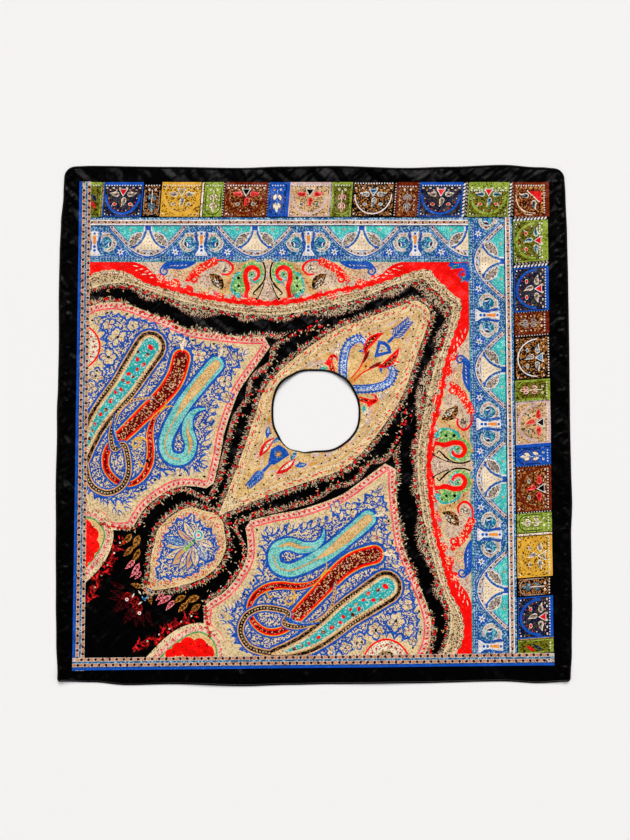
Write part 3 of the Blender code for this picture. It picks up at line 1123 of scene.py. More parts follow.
def draw_turquoise_paisley():
    """The long turquoise form with red buds in a beaded band, and its looped tail."""
    tail = ((22, 376), (22, 345), (32, 312), (58, 297), (84, 306), (97, 330), (96, 358),
            (88, 380), (72, 372), (66, 392), (70, 416), (82, 440), (104, 456), (140, 461))
    spine = ((133, 549), (110, 514), (88, 480), (62, 448), (40, 415), (26, 380), (20, 350))
    outer = ((0, 29), (0.3, 25.5), (0.62, 21), (0.82, 16), (1, 9))
    swelling(spine, ((0, 33), (0.3, 29), (0.7, 24), (1, 13)), ((0, "royal"),))
    for width, ink, taper in (
            (17, "royal", ((0, 1), (0.5, 0.95), (0.8, 0.7), (1, 0.35))),
            (10.5, "orange tan", ((0, 1.2), (0.5, 1), (0.75, 0.85), (1, 0.4))),
            (6.5, "bead black", ((0, 1.2), (0.5, 1), (0.75, 0.8), (1, 0.2)))):
        line_of(tail, width, ink, taper=taper)
    swelling(spine, outer, ((0, "orange tan"), (2.2, "bead black"), (8.0, "orange tan"),
                            (10, "cream"), (13.5, "turquoise")))
    beads = curve(spine)
    for side in (-1, 1):
        spots_along(offset(beads[:22], side * 19.5), 5.2, 1.5, "tan", corners=4)
    spots_along(curve(tail)[2:], 5.4, 1.5, "tan", corners=4)
    buds = ((134, 548, 6), (112, 540, 2.4), (128, 535, 3), (111, 527, 4.4), (122, 518, 4.2),
            (111, 510, 3.6), (96, 502, 4.4), (86, 491, 3), (95, 487, 3.4), (83, 475, 4),
            (73, 470, 3.8), (65, 455, 4.8), (57, 440, 3), (48, 432, 4), (38, 415, 3.2),
            (34, 403, 2.4), (29, 390, 2.8), (104, 497, 2.4))
    source = random.Random(21)
    for p, q, radius in buds:
        spot(p, q, radius * 1.3, "dark red" if radius < 3.1 else "turquoise", corners=7,
             squash=0.8, turn=source.uniform(0, 180))
        spot(p, q, radius, "red" if radius > 3.1 else "maroon", corners=7, squash=0.72,
             turn=source.uniform(0, 180))
    for _ in range(34):
        share = source.uniform(0, 0.8)
        p, q = beads[int(share * (len(beads) - 1))]
        spot(*strewn(source, p, q, 10 * (1 - share), 8 * (1 - share)),
             source.uniform(0.9, 1.5), source.choice(("pale cream", "aqua")), corners=4)
    line_of(((73, 436), (70, 410), (76, 384), (82, 374)), 7, "royal",
            taper=((0, 0.2), (0.6, 1), (1, 0.6)))
    line_of(((73, 428), (72, 408), (77, 386)), 3, "steel pale",
            taper=((0, 0.2), (0.6, 1), (1, 0.6)))


def draw_red_paisley():
    """The maroon form in a red band with a gold edge, its tail turned up to a fork."""
    spine = ((188, 529), (180, 500), (166, 476), (145, 453), (122, 431), (100, 409), (82, 392))
    widths = ((0, 17), (0.25, 17), (0.6, 15), (1, 13))
    tail = ((84, 394), (66, 380), (57, 358), (60, 336), (76, 318), (98, 312), (118, 321),
            (132, 342), (136, 368), (134, 396), (139, 420), (150, 436), (166, 447))
    swelling(spine, ((0, 22), (0.3, 21), (1, 17)), ((0, "royal"),))
    line_of(tail, 21, "royal", taper=((0, 1), (0.35, 0.9), (0.6, 1), (0.8, 0.7), (1, 0.35)))
    thin = ((0, 1), (0.3, 0.8), (0.42, 0.62), (0.62, 0.95), (0.76, 0.8), (0.86, 0.45), (1, 0.15))
    for width, ink in ((16, "gold"), (12, "red"), (5.5, "maroon")):
        line_of(tail, width, ink, taper=thin)
    swelling(spine, widths, ((0, "gold"), (2.0, "red"), (5.6, "maroon")))
    source = random.Random(5)
    line = curve(spine)
    for _ in range(46):
        p, q = line[int(source.uniform(0, len(line) - 1.01))]
        spot(*strewn(source, p, q, 9, 9), source.uniform(0.9, 1.7),
             source.choice(("cream", "gold", "pale pink", "cream")), corners=5)
    spiral(111, 381, 9.5, 1.2, 25, 3.4, "gold", way=1, inner=0.35)
    line_of(((130, 386), (120, 391), (112, 391)), 3.4, "gold", steps=3)
    line_of(((118, 352), (116, 346), (126, 341)), 3.2, "gold", steps=3)
    for fork in (((152, 436), (160, 446), (162, 456)), ((158, 443), (168, 446), (176, 445))):
        line_of(fork, 3.4, "gold", taper=((0, 1), (1, 0.3)))
    spot(130, 352, 3, "black", corners=6)
    leaf(190, 541, 100, 26, 9, "pale cream", bend=-20)


def draw_aqua_paisley():
    """The aqua form with a tan heart, hooked over at its foot."""
    spine = ((249, 518), (233, 500), (215, 478), (196, 454), (180, 428), (167, 402),
             (161, 380), (168, 360), (186, 354), (201, 362), (206, 382), (200, 402),
             (202, 424), (214, 438), (232, 442))
    widths = ((0, 14), (0.25, 13), (0.5, 10), (0.66, 9.5), (0.76, 11), (0.84, 8),
              (0.93, 3.5), (1, 0.6))
    swelling(spine, ((0, 18), (0.3, 17), (0.6, 14), (0.8, 13), (1, 4)), ((0, "royal"),))
    swelling(spine, widths, ((0, "aqua"),))
    line_of(spine[3:9], 1.8, "orange")
    heart = ((0, 0.9), (0.5, 1), (0.8, 0.6), (1, 0.15))
    for width, ink in ((16.5, "orange"), (13.5, "warm tan")):
        line_of(spine[:5], width, ink, taper=heart)
        spot(*spine[0], width * 0.45, ink, corners=14)
    for width, ink in ((9, "turquoise"), (6, "orange"), (4, "warm tan")):
        line_of(spine[9:13], width, ink, taper=((0, 0.2), (0.35, 1.2), (0.6, 0.9), (1, 0.1)))
    line = curve(spine)
    for side in (-1, 1):
        spots_along(offset(line[:34], side * 11), 5.6, 1.0, "teal", corners=4)
    source = random.Random(9)
    for _ in range(26):
        p, q = line[source.randrange(2, 34)]
        spot(*strewn(source, p, q, 4, 4), 1.1, source.choice(("beige", "grey petal", "cream")),
             corners=4)
    leaf(254, 528, 84, 22, 8, "pale cream", bend=-16)


def draw_panel():
    """The whole left panel."""
    art.reach = (FIELD_LEFT, 700)
    draw_panel_edge()
    ground = curve(BLUE_GROUND, closed=True)
    edge = lobed(offset(ground, -7), 13, 10, 52)
    art.fill(edge, "royal")
    art.fill(offset(edge, 3.6), "blue specks")
    draw_half_round()
    draw_flowers()
    draw_aqua_paisley()
    draw_red_paisley()
    draw_turquoise_paisley()
    art.reach = None


draw_panel()


# -------- the dark corner and pear

LOBE_EDGES = (
    # ink, knots
    ("cream", ((8, 272), (36, 270), (56, 261), (70, 240), (72, 218), (63, 190), (44, 163),
               (8, 128))),
    ("pink cream", ((8, 266), (34, 263), (52, 253), (64, 236), (65, 218), (56, 193), (38, 168),
                    (8, 138))),
    ("leaf green", ((8, 258), (28, 257), (44, 250), (56, 235), (58, 220), (50, 200), (34, 178),
                    (8, 150))),
)


def draw_lobe():
    """The round-topped bed with half a red flower, against the left guard strip."""
    for ink, knots in LOBE_EDGES:
        inner = curve(knots)
        art.fill(inner, ink)
    art.fill([(8, 155)] + offset(inner, -2.8)[::-1] + [(8, 255)], "warm tan")
    spots_along(offset(inner, 6.5), 13, 2.4, "bud", corners=6)
    spots_along(offset(inner, 6.5), 6.5, 1.0, ("rose", "pale cream"), corners=4, start=0.1)
    for p, q, radius in ((22, 238, 14), (34, 226, 13), (36, 206, 13), (28, 190, 12),
                         (20, 176, 9), (22, 214, 16)):
        spot(p, q, radius, "red", corners=12)
    for p, q in ((24, 236), (33, 225), (37, 211), (31, 196), (23, 182), (24, 216), (27, 204)):
        spot(p, q, 1.5, "dark red", corners=5)


def draw_dark_corner():
    """Sprays of dark leaves on black, crimson at the corner and warmer towards the pear."""
    sprays = (
        # p, q, turn, length, width, ink, bend
        (112, 121, 172, 38, 9, "crimson", 10), (110, 116, 182, 34, 8, "crimson", -8),
        (112, 108, 196, 36, 8, "crimson", -14), (112, 104, 214, 34, 8, "crimson", 16),
        (114, 100, 236, 34, 9, "crimson", -8), (116, 98, 254, 30, 8, "crimson", 12),
        (122, 97, 268, 28, 9, "crimson", 14), (132, 98, 274, 30, 9, "crimson", 18),
        (118, 118, 200, 22, 12, "dark red", 0), (122, 108, 244, 20, 12, "dark red", 0),
        (122, 136, 152, 20, 9, "ochre leaf", 10), (118, 178, 248, 30, 10, "leaf pink", -10),
        (110, 184, 236, 24, 9, "leaf pink", -12), (121, 164, 240, 18, 8, "leaf pink", -8),
        (118, 202, 252, 26, 10, "ochre leaf", -12), (106, 206, 238, 24, 10, "ochre leaf", -12),
        (117, 226, 256, 28, 12, "ochre leaf", -10), (104, 228, 240, 26, 10, "ochre leaf", -12),
        (96, 218, 226, 20, 7, "brown", -10),
    )
    for p, q, turn, length, width, ink, bend in sprays:
        leaf(p, q, turn, length, width, ink, bend=bend, blunt=0.4)
        way = turn + bend * 0.5
        for share in (0.2, 0.45, 0.7):
            for side in (-40, 40):
                leaf(*moved(p, q, way, length * share, 0), way + side, width * 0.6, 1.5,
                     "night")
        leaf(p, q, turn, length * 0.8, 1.6, "night", bend=bend)
    for p, q in ((97, 116), (119, 93)):
        spot(p, q, 3.2, "white", 1, 8)
        spot(p, q, 1.5, "bud", 1, 6)
    for p, q, turn in ((109, 118, 60), (120, 107, 36), (126, 124, 128), (134, 132, 60)):
        leaf(p - 4, q, turn, 10, 3, "pale cream", 1)
    for p, q, turn in ((122, 122, -50), (130, 136, -30), (128, 116, 40)):
        leaf(p, q, turn, 12, 4, "steel", 1)
    source = random.Random(31)
    for share in np.linspace(0, 1, 34):
        p, q = 22 + 54 * share, 122 + 96 * share
        for _ in range(3):
            turn = source.choice((40, 70, 100, 20, 150, -20))
            leaf(p + source.uniform(-2, 14), q - source.uniform(0, 15), turn,
                 source.uniform(7, 13), 3.2,
                 source.choice(("bud", "dark red", "dark red", "crimson")))
        if share > 0.2 and int(share * 30) % 6 == 0:
            spot(p + 8, q - 6, 1.8, "pale cream", corners=6)


def draw_pear():
    """The pear-shaped medallion: red marks in its pale band, and a spray on blue."""
    band = curve(PEAR, closed=True)
    art.fill(combed(offset(band, 2.0), -1, 1, 64), "warm tan", 1)
    art.fill(offset(band, 4.4), "pear cream", 1)
    source = random.Random(12)
    for p, q, way in evenly(offset(band, 8.5), 7.5):
        leaf(*strewn(source, p, q, 1.5, 1.5), way + 60, source.uniform(4, 7), 2.6,
             source.choice(("red", "rose", "orange")), 1)
    core = curve(PEAR_CORE, closed=True)
    edge = lobed(offset(core, -4), 12, 8, 61)
    art.fill(edge, "royal", 1, True)
    art.fill(offset(edge, 3.6), "blue specks", 1)
    for p, q, turn, length, width, ink in (
        (206, 214, 200, 44, 14, "cream"), (204, 210, 174, 46, 11, "steel pale"),
        (203, 206, 216, 46, 13, "cream"), (204, 205, 236, 42, 17, "orange tan"),
        (206, 204, 252, 42, 12, "cream"), (209, 205, 268, 40, 12, "orange tan"),
        (212, 206, 284, 36, 13, "cream"), (210, 214, 152, 34, 10, "orange tan"),
        (214, 218, 132, 36, 12, "cream"), (218, 208, 312, 32, 16, "grey blue"),
        (222, 214, 350, 26, 13, "cream"),
    ):
        leaf(p, q, turn, length + 3, width + 4, "royal", 1, bend=-10)
        leaf(p, q, turn, length, width, ink, 1, bend=-10)
        leaf(p, q, turn, length * 0.8, 1.6, "royal", 1, bend=-10)
    spiral(229, 201, 9, 1.2, 150, 3, "pale cream", 1, way=-1)
    line_of(((211, 214), (204, 207), (196, 199)), 7, "green", 1, taper=((0, 0.4), (1, 1.3)))
    line_of(((216, 217), (211, 213)), 3, "leaf green", 1)
    for radius, ink in ((9.4, "pale cream"), (7.6, "turquoise"), (4.8, "white"), (2.6, "rose")):
        spot(220, 225, radius, ink, 1, 14)


draw_dark_corner()
art.reach = (FIELD_LEFT, 700)
draw_lobe()
art.reach = None
draw_pear()


# -------- the long medallion

def feather(p, q, turn, length, width, line_ink):
    """A fern-like blue leaf: barbs on both sides of a blade, with paler lines between them."""
    for share in np.linspace(0.05, 0.75, 6):
        at = moved(p, q, turn, length * share, 0)
        for side in (-1, 1):
            leaf(*at, turn + side * 32, width * (1.1 - 0.5 * share), 5.4, "royal", 1)
            leaf(*at, turn + side * 30, width * (0.95 - 0.5 * share), 1.7, line_ink, 1)
    leaf(p, q, turn, length, width * 0.2, "royal", 1)


def draw_spindle():
    """Red marks and small dots round the edge, and sprays at both sides of the opening."""
    edge = curve(SPINDLE_EDGE)
    source = random.Random(17)
    for inward, ink in ((2.2, "warm tan"), (4.2, "cream"), (14, "warm tan")):
        art.fill(folded_over(offset(edge, -inward)), ink, 1)
    for p, q, way in evenly(this_side(offset(edge, -8.5), 6)[1:], 8.5):
        leaf(*strewn(source, p, q, 1.5, 2.5), way + 20, source.uniform(5, 9), 2.5,
             source.choice(("red", "red", "bud", "orange")))
    for away, ink in ((-15.5, "orange tan"), (-19.5, "cream"), (-22.5, "pale pink")):
        line_of(this_side(offset(edge, away), 9)[3:], 1.4, ink, steps=0)
    for p, q, way in evenly(this_side(offset(edge, -26), 16), 11):
        for _ in range(3):
            leaf(p + source.uniform(-4, 14), q + source.uniform(-16, 3), way
                 + source.uniform(-12, 12), source.uniform(10, 24), source.uniform(3, 6.5),
                 source.choice(("ochre", "pale pink", "cream", "pink cream", "pale cream")))
    for away, pitch in ((-20, 21), (-34, 25)):
        for p, q, _ in evenly(offset(edge, away)[4:-4], pitch):
            spot(*strewn(source, p, q, 4, 4), 1.7, "black", corners=5)
    draw_upper_spray()
    draw_lower_spray()


def draw_upper_spray():
    """The spray above the opening: two red feathers, a blue lozenge, and hooked paisleys."""
    hook = ((472, 492), (472, 512), (474, 532), (480, 550), (492, 561), (504, 562), (511, 553),
            (508, 543), (500, 541))
    line_of(hook, 15, "royal", taper=((0, 0.9), (0.3, 1), (0.6, 0.8), (0.8, 0.36), (1, 0.2)))
    line_of(hook, 11, "sky", taper=((0, 0.8), (0.3, 1), (0.6, 0.7), (0.8, 0.2), (1, 0.1)))
    spots_along(offset(curve(hook)[:26], 6.5), 6, 2.6, "royal", corners=6)
    for p, q, way in evenly(curve(hook)[:28], 6):
        leaf(p, q, way + 60, 5.5, 2.2, "cream")
        leaf(p, q, way - 60, 4.5, 1.6, "royal")
    stem = ((478, 480), (492, 494), (508, 512), (524, 528))
    for width, ink in ((13, "orange"), (5, "ochre")):
        line_of(stem, width, ink, 1, taper=((0, 1), (0.7, 0.7), (1, 0.2)))
    line_of(((486, 494), (500, 510), (510, 530), (514, 546)), 4, "bud",
            taper=((0, 0.4), (1, 1)))
    for share in (0.3, 0.5, 0.7):
        leaf(510 + 14 * share, 538 + 42 * share, 108, 7, 3.4, "red")
    leaf(508, 536, 76, 52, 14, "red", bend=-30)
    leaf(510, 541, 74, 38, 7, "maroon", bend=-24)
    leaf(508, 520, 74, 26, 6, "dark red", bend=-10)
    spot(512, 515, 2.4, "dark specks", 1, squash=0.6, turn=45)
    line_of(((551, 556), (560, 565), (570, 574)), 5, "royal", 1)
    feather(558, 563, 45, 48, 19, "cream")
    art.fill([(527, 531), (534, 560), (546, 558), (555, 550), (557, 538), (528, 530)],
             "royal", 1)
    art.fill([(534, 538), (538, 553), (544, 552), (549, 547), (550, 541)], "cream", 1)
    for turn in (20, 92, 164, 236, 308):
        leaf(543, 546, turn, 5, 2.4, "steel pale", 1)
    spot(540, 542, 1.8, "rust", 1, corners=5)
    flame = ((455, 502), (452, 514), (449, 524), (453, 533), (460, 531), (462, 524))
    line_of(flame, 8, "red", taper=((0, 1), (0.4, 1.2), (0.7, 0.6), (1, 0.2)))
    line_of(flame, 3.4, "maroon", taper=((0, 1), (0.4, 1.2), (0.6, 0.3), (1, 0.1)))
    for turn in (100, 128, 150):
        leaf(450, 516, turn, 13, 4, "red")
    leaf(430, 510, 10, 16, 6, "turquoise")


def draw_lower_spray():
    """The smaller spray under the opening, pointing to the pear."""
    leaf(352, 392, 222, 44, 14, "bud", bend=10)
    leaf(350, 389, 222, 30, 6, "pale cream", bend=10)
    leaf(366, 394, 205, 22, 8, "steel", bend=10)
    feather(334, 336, 225, 42, 15, "steel pale")
    line_of(((350, 352), (342, 344), (332, 334)), 5, "royal", 1)
    art.fill([(341, 348), (346, 372), (360, 380), (372, 372), (378, 362), (352, 345)],
             "royal", 1)
    spot(359, 363, 7, "slate", 1, corners=8)
    spot(359, 363, 3.4, "orange", 1, corners=6)
    leaf(342, 412, 262, 22, 9, "royal")
    leaf(342, 410, 262, 14, 4, "steel pale")


draw_spindle()


# -------- the red strip

STRIP_MIDDLE = 339.6  # the strip's sprays are their own reflection about here


def draw_strip_side(way):
    """One side of the strip's spray, as it lies on the left where way is 1."""
    def at(p):
        return STRIP_MIDDLE + way * (p - STRIP_MIDDLE)

    def turned(angle):
        return angle if way == 1 else 180 - angle

    def form(ink, *knots, steps=4):
        art.fill(curve([(at(p), q) for p, q in knots], steps), ink)

    def stroke(width, ink, taper, *knots, steps=5):
        line_of([(at(p), q) for p, q in knots], width, ink, steps=steps, taper=taper)

    form("strip pale", (104, 697), (122, 690), (140, 676), (166, 664), (188, 652), (214, 642),
         (236, 640), (262, 634), (286, 632), (306, 632), (330, 634), (339.6, 634),
         (339.6, 697), steps=3)
    for p, q, radius in ((150, 672, 9), (176, 662, 10), (200, 652, 9), (226, 644, 10),
                         (254, 640, 9), (284, 636, 9), (312, 634, 9)):
        spot(at(p), q - 4, radius, "red marks", corners=9)
    form("strip tan", (150, 697), (170, 676), (186, 666), (206, 664), (222, 676), (232, 697))
    stroke(7, "strip tan", EVEN, (262, 690), (240, 676), (222, 664), (212, 656), (232, 648),
           (258, 662), (276, 680), (284, 697), steps=4)
    form("warm tan", (300, 697), (268, 676), (250, 652), (262, 640), (288, 650), (306, 668),
         (322, 697))
    stroke(15, "red marks", ((0, 0.5), (0.5, 1), (1, 0.9)), (196, 662), (208, 676), (228, 690),
           (250, 700))
    stroke(13, "strip pale", ((0, 1), (0.6, 0.9), (1, 0.5)), (214, 660), (236, 676), (258, 694))
    spiral(at(211), 667, 8.5, 1.35, turned(30), 4, "red", way=way, inner=0.2)
    spot(at(211), 667, 2.2, "pale cream", corners=6)
    stroke(4.4, "red", ((0, 0.6), (0.5, 1), (1, 0.7)), (246, 700), (264, 700), (276, 692),
           (277, 682), (268, 675), (258, 676))
    leaf(at(262), 678, turned(80), 16, 12, "grey specks")
    leaf(at(236), 676, turned(-30), 38, 20, "dark specks", bend=-20 * way)
    leaf(at(240), 670, turned(-36), 28, 9, "grey specks", bend=-20 * way)
    leaf(at(244), 648, turned(-60), 14, 7, "rose")
    stroke(13, "orange tan", ((0, 1), (0.5, 0.9), (1, 0.4)), (318, 697), (298, 690),
           (281, 676), (270, 658), (262, 644))
    for share in range(5):
        leaf(at(292 - share * 6), 686 - share * 8, turned(200), 7, 1.8, "dark specks")
    form("turquoise", (300, 682), (284, 678), (276, 664), (274, 648), (280, 640), (287, 634),
         (297, 640), (300, 656))
    form("green", (298, 678), (286, 674), (279, 662), (278, 650), (284, 643), (294, 646),
         (297, 658))
    for p, q, radius in ((288, 669, 3), (288, 655, 2.6), (282, 647, 1.6), (293, 662, 1.4)):
        spot(at(p), q, radius, "black", corners=6)
    leaf(at(292), 646, turned(-70), 12, 4, "red")
    stroke(12, "green", ((0, 0.5), (0.5, 0.9), (1, 0.5)), (296, 640), (299, 655), (296, 670),
           (300, 688), (316, 693), (328, 684), (328, 668), (318, 660))
    stroke(8.5, "red", ((0, 1), (0.5, 1), (1, 0.5)), (301, 634), (304, 652), (300, 668),
           (302, 682), (313, 688), (323, 681), (322, 670), (314, 665))
    stroke(3, "turquoise", EVEN, (306, 671), (315, 662), (323, 665), (330, 676))
    for radius, ink, corners in ((5.6, "turquoise", 8), (4.0, "green", 8), (1.6, "black", 6)):
        spot(at(311), 675, radius, ink, corners=corners)
    form("strip tan", (312, 655), (326, 662), (333, 676), (330, 697), (339.6, 697),
         (339.6, 632), (322, 634), (306, 636), (306, 645))
    stroke(2.6, "black", ((0, 1), (0.6, 1.2), (1, 0.6)), (331, 697), (335, 684), (334, 668),
           (327, 656), (319, 648), (314, 642), (319, 639))
    stroke(3.4, "grey specks", EVEN, (333, 664), (331, 652), (327, 640), (320, 632))
    stroke(1.6, "black", EVEN, (334, 660), (328, 646), (322, 634))
    spot(at(320), 632.5, 2.4, "black", corners=5)
    for out, ink in ((8.6, "rose"), (7.6, "cream"), (5.6, "strip tan")):
        spot(at(184), 677, out, ink, corners=12)
    diamonds([(at(p), q) for p, q in arc_of(184, 677, 3.6, 3.6, range(0, 360, 60))], 1.0,
             "dark specks")
    form("royal", (152, 687), (162, 694), (172, 698), (212, 698), (204, 690), (193, 685.5),
         (180, 684), (168, 685.5), (158, 684), steps=3)
    for p in (166, 172, 178, 185, 192):
        leaf(at(p), 689 + (p - 166) * 0.05, turned(24), 6, 1.6, "pale cream")
    spiral(at(157), 681, 8.4, 1.3, turned(110), 3.4, "royal", way=way, inner=0.25)
    stroke(4, "royal", EVEN, (154, 689), (160, 695), (172, 698))
    source = random.Random(44)
    for _ in range(20):
        p = source.uniform(100, 172)
        leaf(at(p), 690 - (p - 100) * 0.42 + source.uniform(-7, 4), turned(source.uniform(-40, 10)),
             source.uniform(5, 9), 2.0, "pale cream")


def draw_red_strip():
    """The red strip's sprays, their pale middle, and the spray at its corner."""
    for way in (1, -1):
        draw_strip_side(way)
    art.fill(curve([(335, 700), (336.5, 676), (334, 660), (329, 645), (324, 633), (340, 629),
                    (355, 633), (350, 645), (345, 660), (342.5, 676), (344, 700)], 4),
             "strip pale")
    for q in (640, 648):
        leaf(STRIP_MIDDLE - 6, q, 0, 12, 3, "pale cream")
    edge = curve(RED_EDGE)
    line_of(scalloped(offset(edge, 3.2), 17, 2.4)[2:-2], 5.5, "red", steps=0)
    spiral(684, 676, 11, 1.2, 90, 4, "royal", 1, way=-1, inner=0.3)
    line_of(((660, 694), (672, 690), (686, 692), (692, 690)), 9, "royal", 1)
    line_of(((688, 664), (693, 672), (690, 690)), 8, "royal", 1)
    leaf(662, 684, 30, 18, 6, "teal", 1)
    leaf(680, 660, 60, 18, 6, "teal", 1)
    for inward, ink, width in ((4.5, "pale cream", 1.6), (10.5, "beige fine", 1.4)):
        line_of(offset(edge, -inward)[1:-2], width, ink, steps=0)
    line_of(offset(curve(TAN_EDGE), 1.5)[1:-1], 2.6, "cream", steps=0)
    source = random.Random(2)
    for p, q, way in evenly(offset(edge, -7.5), 4.6):
        if p < 648:
            leaf(p, q + source.uniform(-1, 1), way + source.choice((30, 60, 120)), 3.8, 1.6,
                 source.choice(("rose", "brown", "orange", "beige")))


def draw_buds():
    """Red buds along the beds of small flowers, in twos and threes."""
    source = random.Random(8)
    rows = (
        # line, spacing, sides of the diagonal
        (offset(curve(TAN_EDGE), -6), 15, 2), (offset(curve(BED_TOP), -7), 17, 2),
        (offset(curve(BED_RIGHT), -7), 17, 2), (offset(curve(BED_FOOT), -7), 14, 2),
        (offset(curve(SPINDLE_EDGE), 6), 17, 2), (offset(curve(PEAR, closed=True), -6), 15, 1),
    )
    for line, spacing, sides in rows:
        for p, q, way in evenly(line, spacing):
            if not 22 < p < 646 or (sides == 1 and q < 130):
                continue
            p, q = strewn(source, p, q, 2.5, 2.5)
            for _ in range(source.choice((1, 1, 2))):
                turn = source.uniform(0, 180)
                spot(p, q, 3.6, "black", sides, 6, 0.8, turn)
                spot(p, q, source.uniform(2.3, 3.1), "bud", sides, 6, 0.75, turn)
                p, q = p + source.uniform(4, 7), q + source.uniform(-3, 3)
            for _ in range(3):
                leaf(p + source.uniform(-9, 5), q + source.uniform(-5, 5),
                     source.uniform(0, 360), source.uniform(3.5, 6), 1.7,
                     source.choice(("pale cream", "cream", "tan", "ochre")), sides)


draw_red_strip()
draw_buds()


# -------- the guard strips, last

draw_guard((3.8, -4), (4.8, 839), (1, 0))
draw_guard((3.8, -3.5), (836, 5.2), (0, 1))


# -------- the cloth's meshes

def linear(code):
    """An sRGB hex colour as the linear values that a material takes."""
    shares = [int(code[place:place + 2], 16) / 255 for place in (1, 3, 5)]
    return [s / 12.92 if s <= 0.04045 else ((s + 0.055) / 1.055) ** 2.4 for s in shares]


FIELD_REACH = 416  # from the middle to the inner edge of the plain border
BORDER_REACH = 439
NECK_CLEAR = 86  # from the middle of the opening to the first point of the grid


def cloth_grid(spacing, border_spacing):
    """Points that carry the waves of the cloth where the print has none, denser at the sides."""
    found = []
    for step, inner, outer in ((spacing, 0, FIELD_REACH),
                               (border_spacing, FIELD_REACH + 1, BORDER_REACH)):
        places = np.arange(-BORDER_REACH - 1, BORDER_REACH + 1.1, step)
        for row, y in enumerate(places):
            for x in places + (step / 2 if row % 2 else 0):
                rim = max(abs(x), abs(y) - 5)
                from_neck = math.hypot(x - NECK_CENTRE[0], y - NECK_CENTRE[1])
                if inner <= rim <= outer and from_neck > NECK_CLEAR:
                    found.append((x + 0.13 * math.sin(7 * y), y + 0.11 * math.cos(5 * x)))
    return found


LONGEST = 14  # that an edge of the print may run with no corner to bend at
SLACK = 0.12  # by which a corner may stand off the line that replaces it
SLIVER = 200  # twice the area under which a gap that opens at the cloth's edge is filled
FAR_CORNERS = [(-520, -520), (520, -520), (520, 520), (-520, 520)]


def triangulated(points, edges):
    """Triangles over a flat drawing, their areas, and the drawing's edges among theirs."""
    places, lines, faces, _, origins, _ = delaunay_2d_cdt(
        [Vector(point) for point in points + FAR_CORNERS], edges, [], 0, 1e-4, True)
    corners = np.array([tuple(place) for place in places])
    triangles = np.array(faces)
    a, b, c = (corners[triangles[:, k]] for k in range(3))
    doubled = (b - a)[:, 0] * (c - a)[:, 1] - (b - a)[:, 1] * (c - a)[:, 0]
    drawn = {(min(line), max(line)) for line, origin in zip(lines, origins) if origin}
    return corners, triangles, np.abs(doubled), drawn


def inked(outlines, names, loose, slack):
    """Triangles that carry the print. The first outline is the cloth, the second its opening.

    The drawing is cut up twice: first by every outline, then only where two inks meet.
    Returns the corners, the triangles, and for each triangle the last outline round it.
    """
    points, edges = [], []
    for shape in outlines:
        start, count = len(points), len(shape)
        points.extend((round(float(x), 3), round(float(y), 3)) for x, y in shape)
        edges.extend((start + k, start + (k + 1) % count) for k in range(count))
    corners, triangles, _, _ = triangulated(points, edges)
    numbers = {name: number for number, name in enumerate(dict.fromkeys(names))}
    shown = np.array([numbers[name] for name in names] + [-1])
    shown = shown[owners_of(corners[triangles].mean(1), outlines)]
    borders = straightened(corners, meeting_edges(triangles, shown), slack)
    points, edges = [], []
    for a, b in borders:
        pieces = int(np.linalg.norm(corners[b] - corners[a]) / LONGEST) + 1
        for step in range(pieces + 1):
            points.append(tuple(corners[a] + (corners[b] - corners[a]) * step / pieces))
        edges.extend((len(points) - 1 - k, len(points) - 2 - k) for k in range(pieces))
    corners, triangles, areas, drawn = triangulated(points + list(loose), edges)
    region = regions_of(triangles, drawn)
    order = np.lexsort((-areas, region))
    known, first = np.unique(region[order], return_index=True)
    owner = owners_of(corners[triangles[order[first]]].mean(1), outlines)
    slivers = (owner < 0) & (np.bincount(np.searchsorted(known, region), areas) < SLIVER)
    owner[slivers] = 0
    owner = owner[np.searchsorted(known, region)]
    kept = owner >= 0
    used, triangles = np.unique(triangles[kept], return_inverse=True)
    return corners[used], triangles.reshape(-1, 3), owner[kept]


def sides_of(triangles):
    """The three sides of every triangle, as pairs of corners."""
    return np.concatenate([triangles[:, (0, 1)], triangles[:, (1, 2)], triangles[:, (2, 0)]])


def meeting_edges(triangles, shown):
    """The edges with one ink on one side and another on the other."""
    sides = sides_of(triangles)
    sides.sort(axis=1)
    beside = np.tile(shown, 3)
    order = np.lexsort((sides[:, 1], sides[:, 0]))
    sides, beside = sides[order], beside[order]
    meet = (sides[:-1] == sides[1:]).all(1) & (beside[:-1] != beside[1:])
    return sides[:-1][meet].tolist()


def straightened(corners, borders, slack):
    """The borders without the corners at which they only run straight on."""
    beside = {}
    for a, b in borders:
        beside.setdefault(a, set()).add(b)
        beside.setdefault(b, set()).add(a)
    for middle in sorted(beside):
        if len(beside[middle]) != 2:
            continue
        a, b = beside[middle]
        (ax, ay), (bx, by), (x, y) = corners[a], corners[b], corners[middle]
        length = math.hypot(bx - ax, by - ay)
        away = abs((bx - ax) * (y - ay) - (by - ay) * (x - ax))
        if b not in beside[a] and length < LONGEST + 2 and away < slack * length:
            beside[a].symmetric_difference_update((middle, b))
            beside[b].symmetric_difference_update((middle, a))
            del beside[middle]
    return [(a, b) for a, ends in beside.items() for b in ends if a < b]


def regions_of(triangles, drawn):
    """Numbers each triangle by the region that the drawing shuts it in."""
    parent = list(range(len(triangles)))

    def root(index):
        while parent[index] != index:
            parent[index] = parent[parent[index]]
            index = parent[index]
        return index

    beside = {}
    for index, (a, b, c) in enumerate(triangles.tolist()):
        for start, end in ((a, b), (b, c), (c, a)):
            side = (min(start, end), max(start, end))
            if side not in drawn:
                parent[root(index)] = root(beside.setdefault(side, index))
    return np.array([root(index) for index in range(len(triangles))])


CELL = 12  # width of the squares that triangles are looked up by
CELLS_LEFT = 60  # squares to the left of the middle, and below it
ROW = 1000  # from the number of a square to that of the one above it


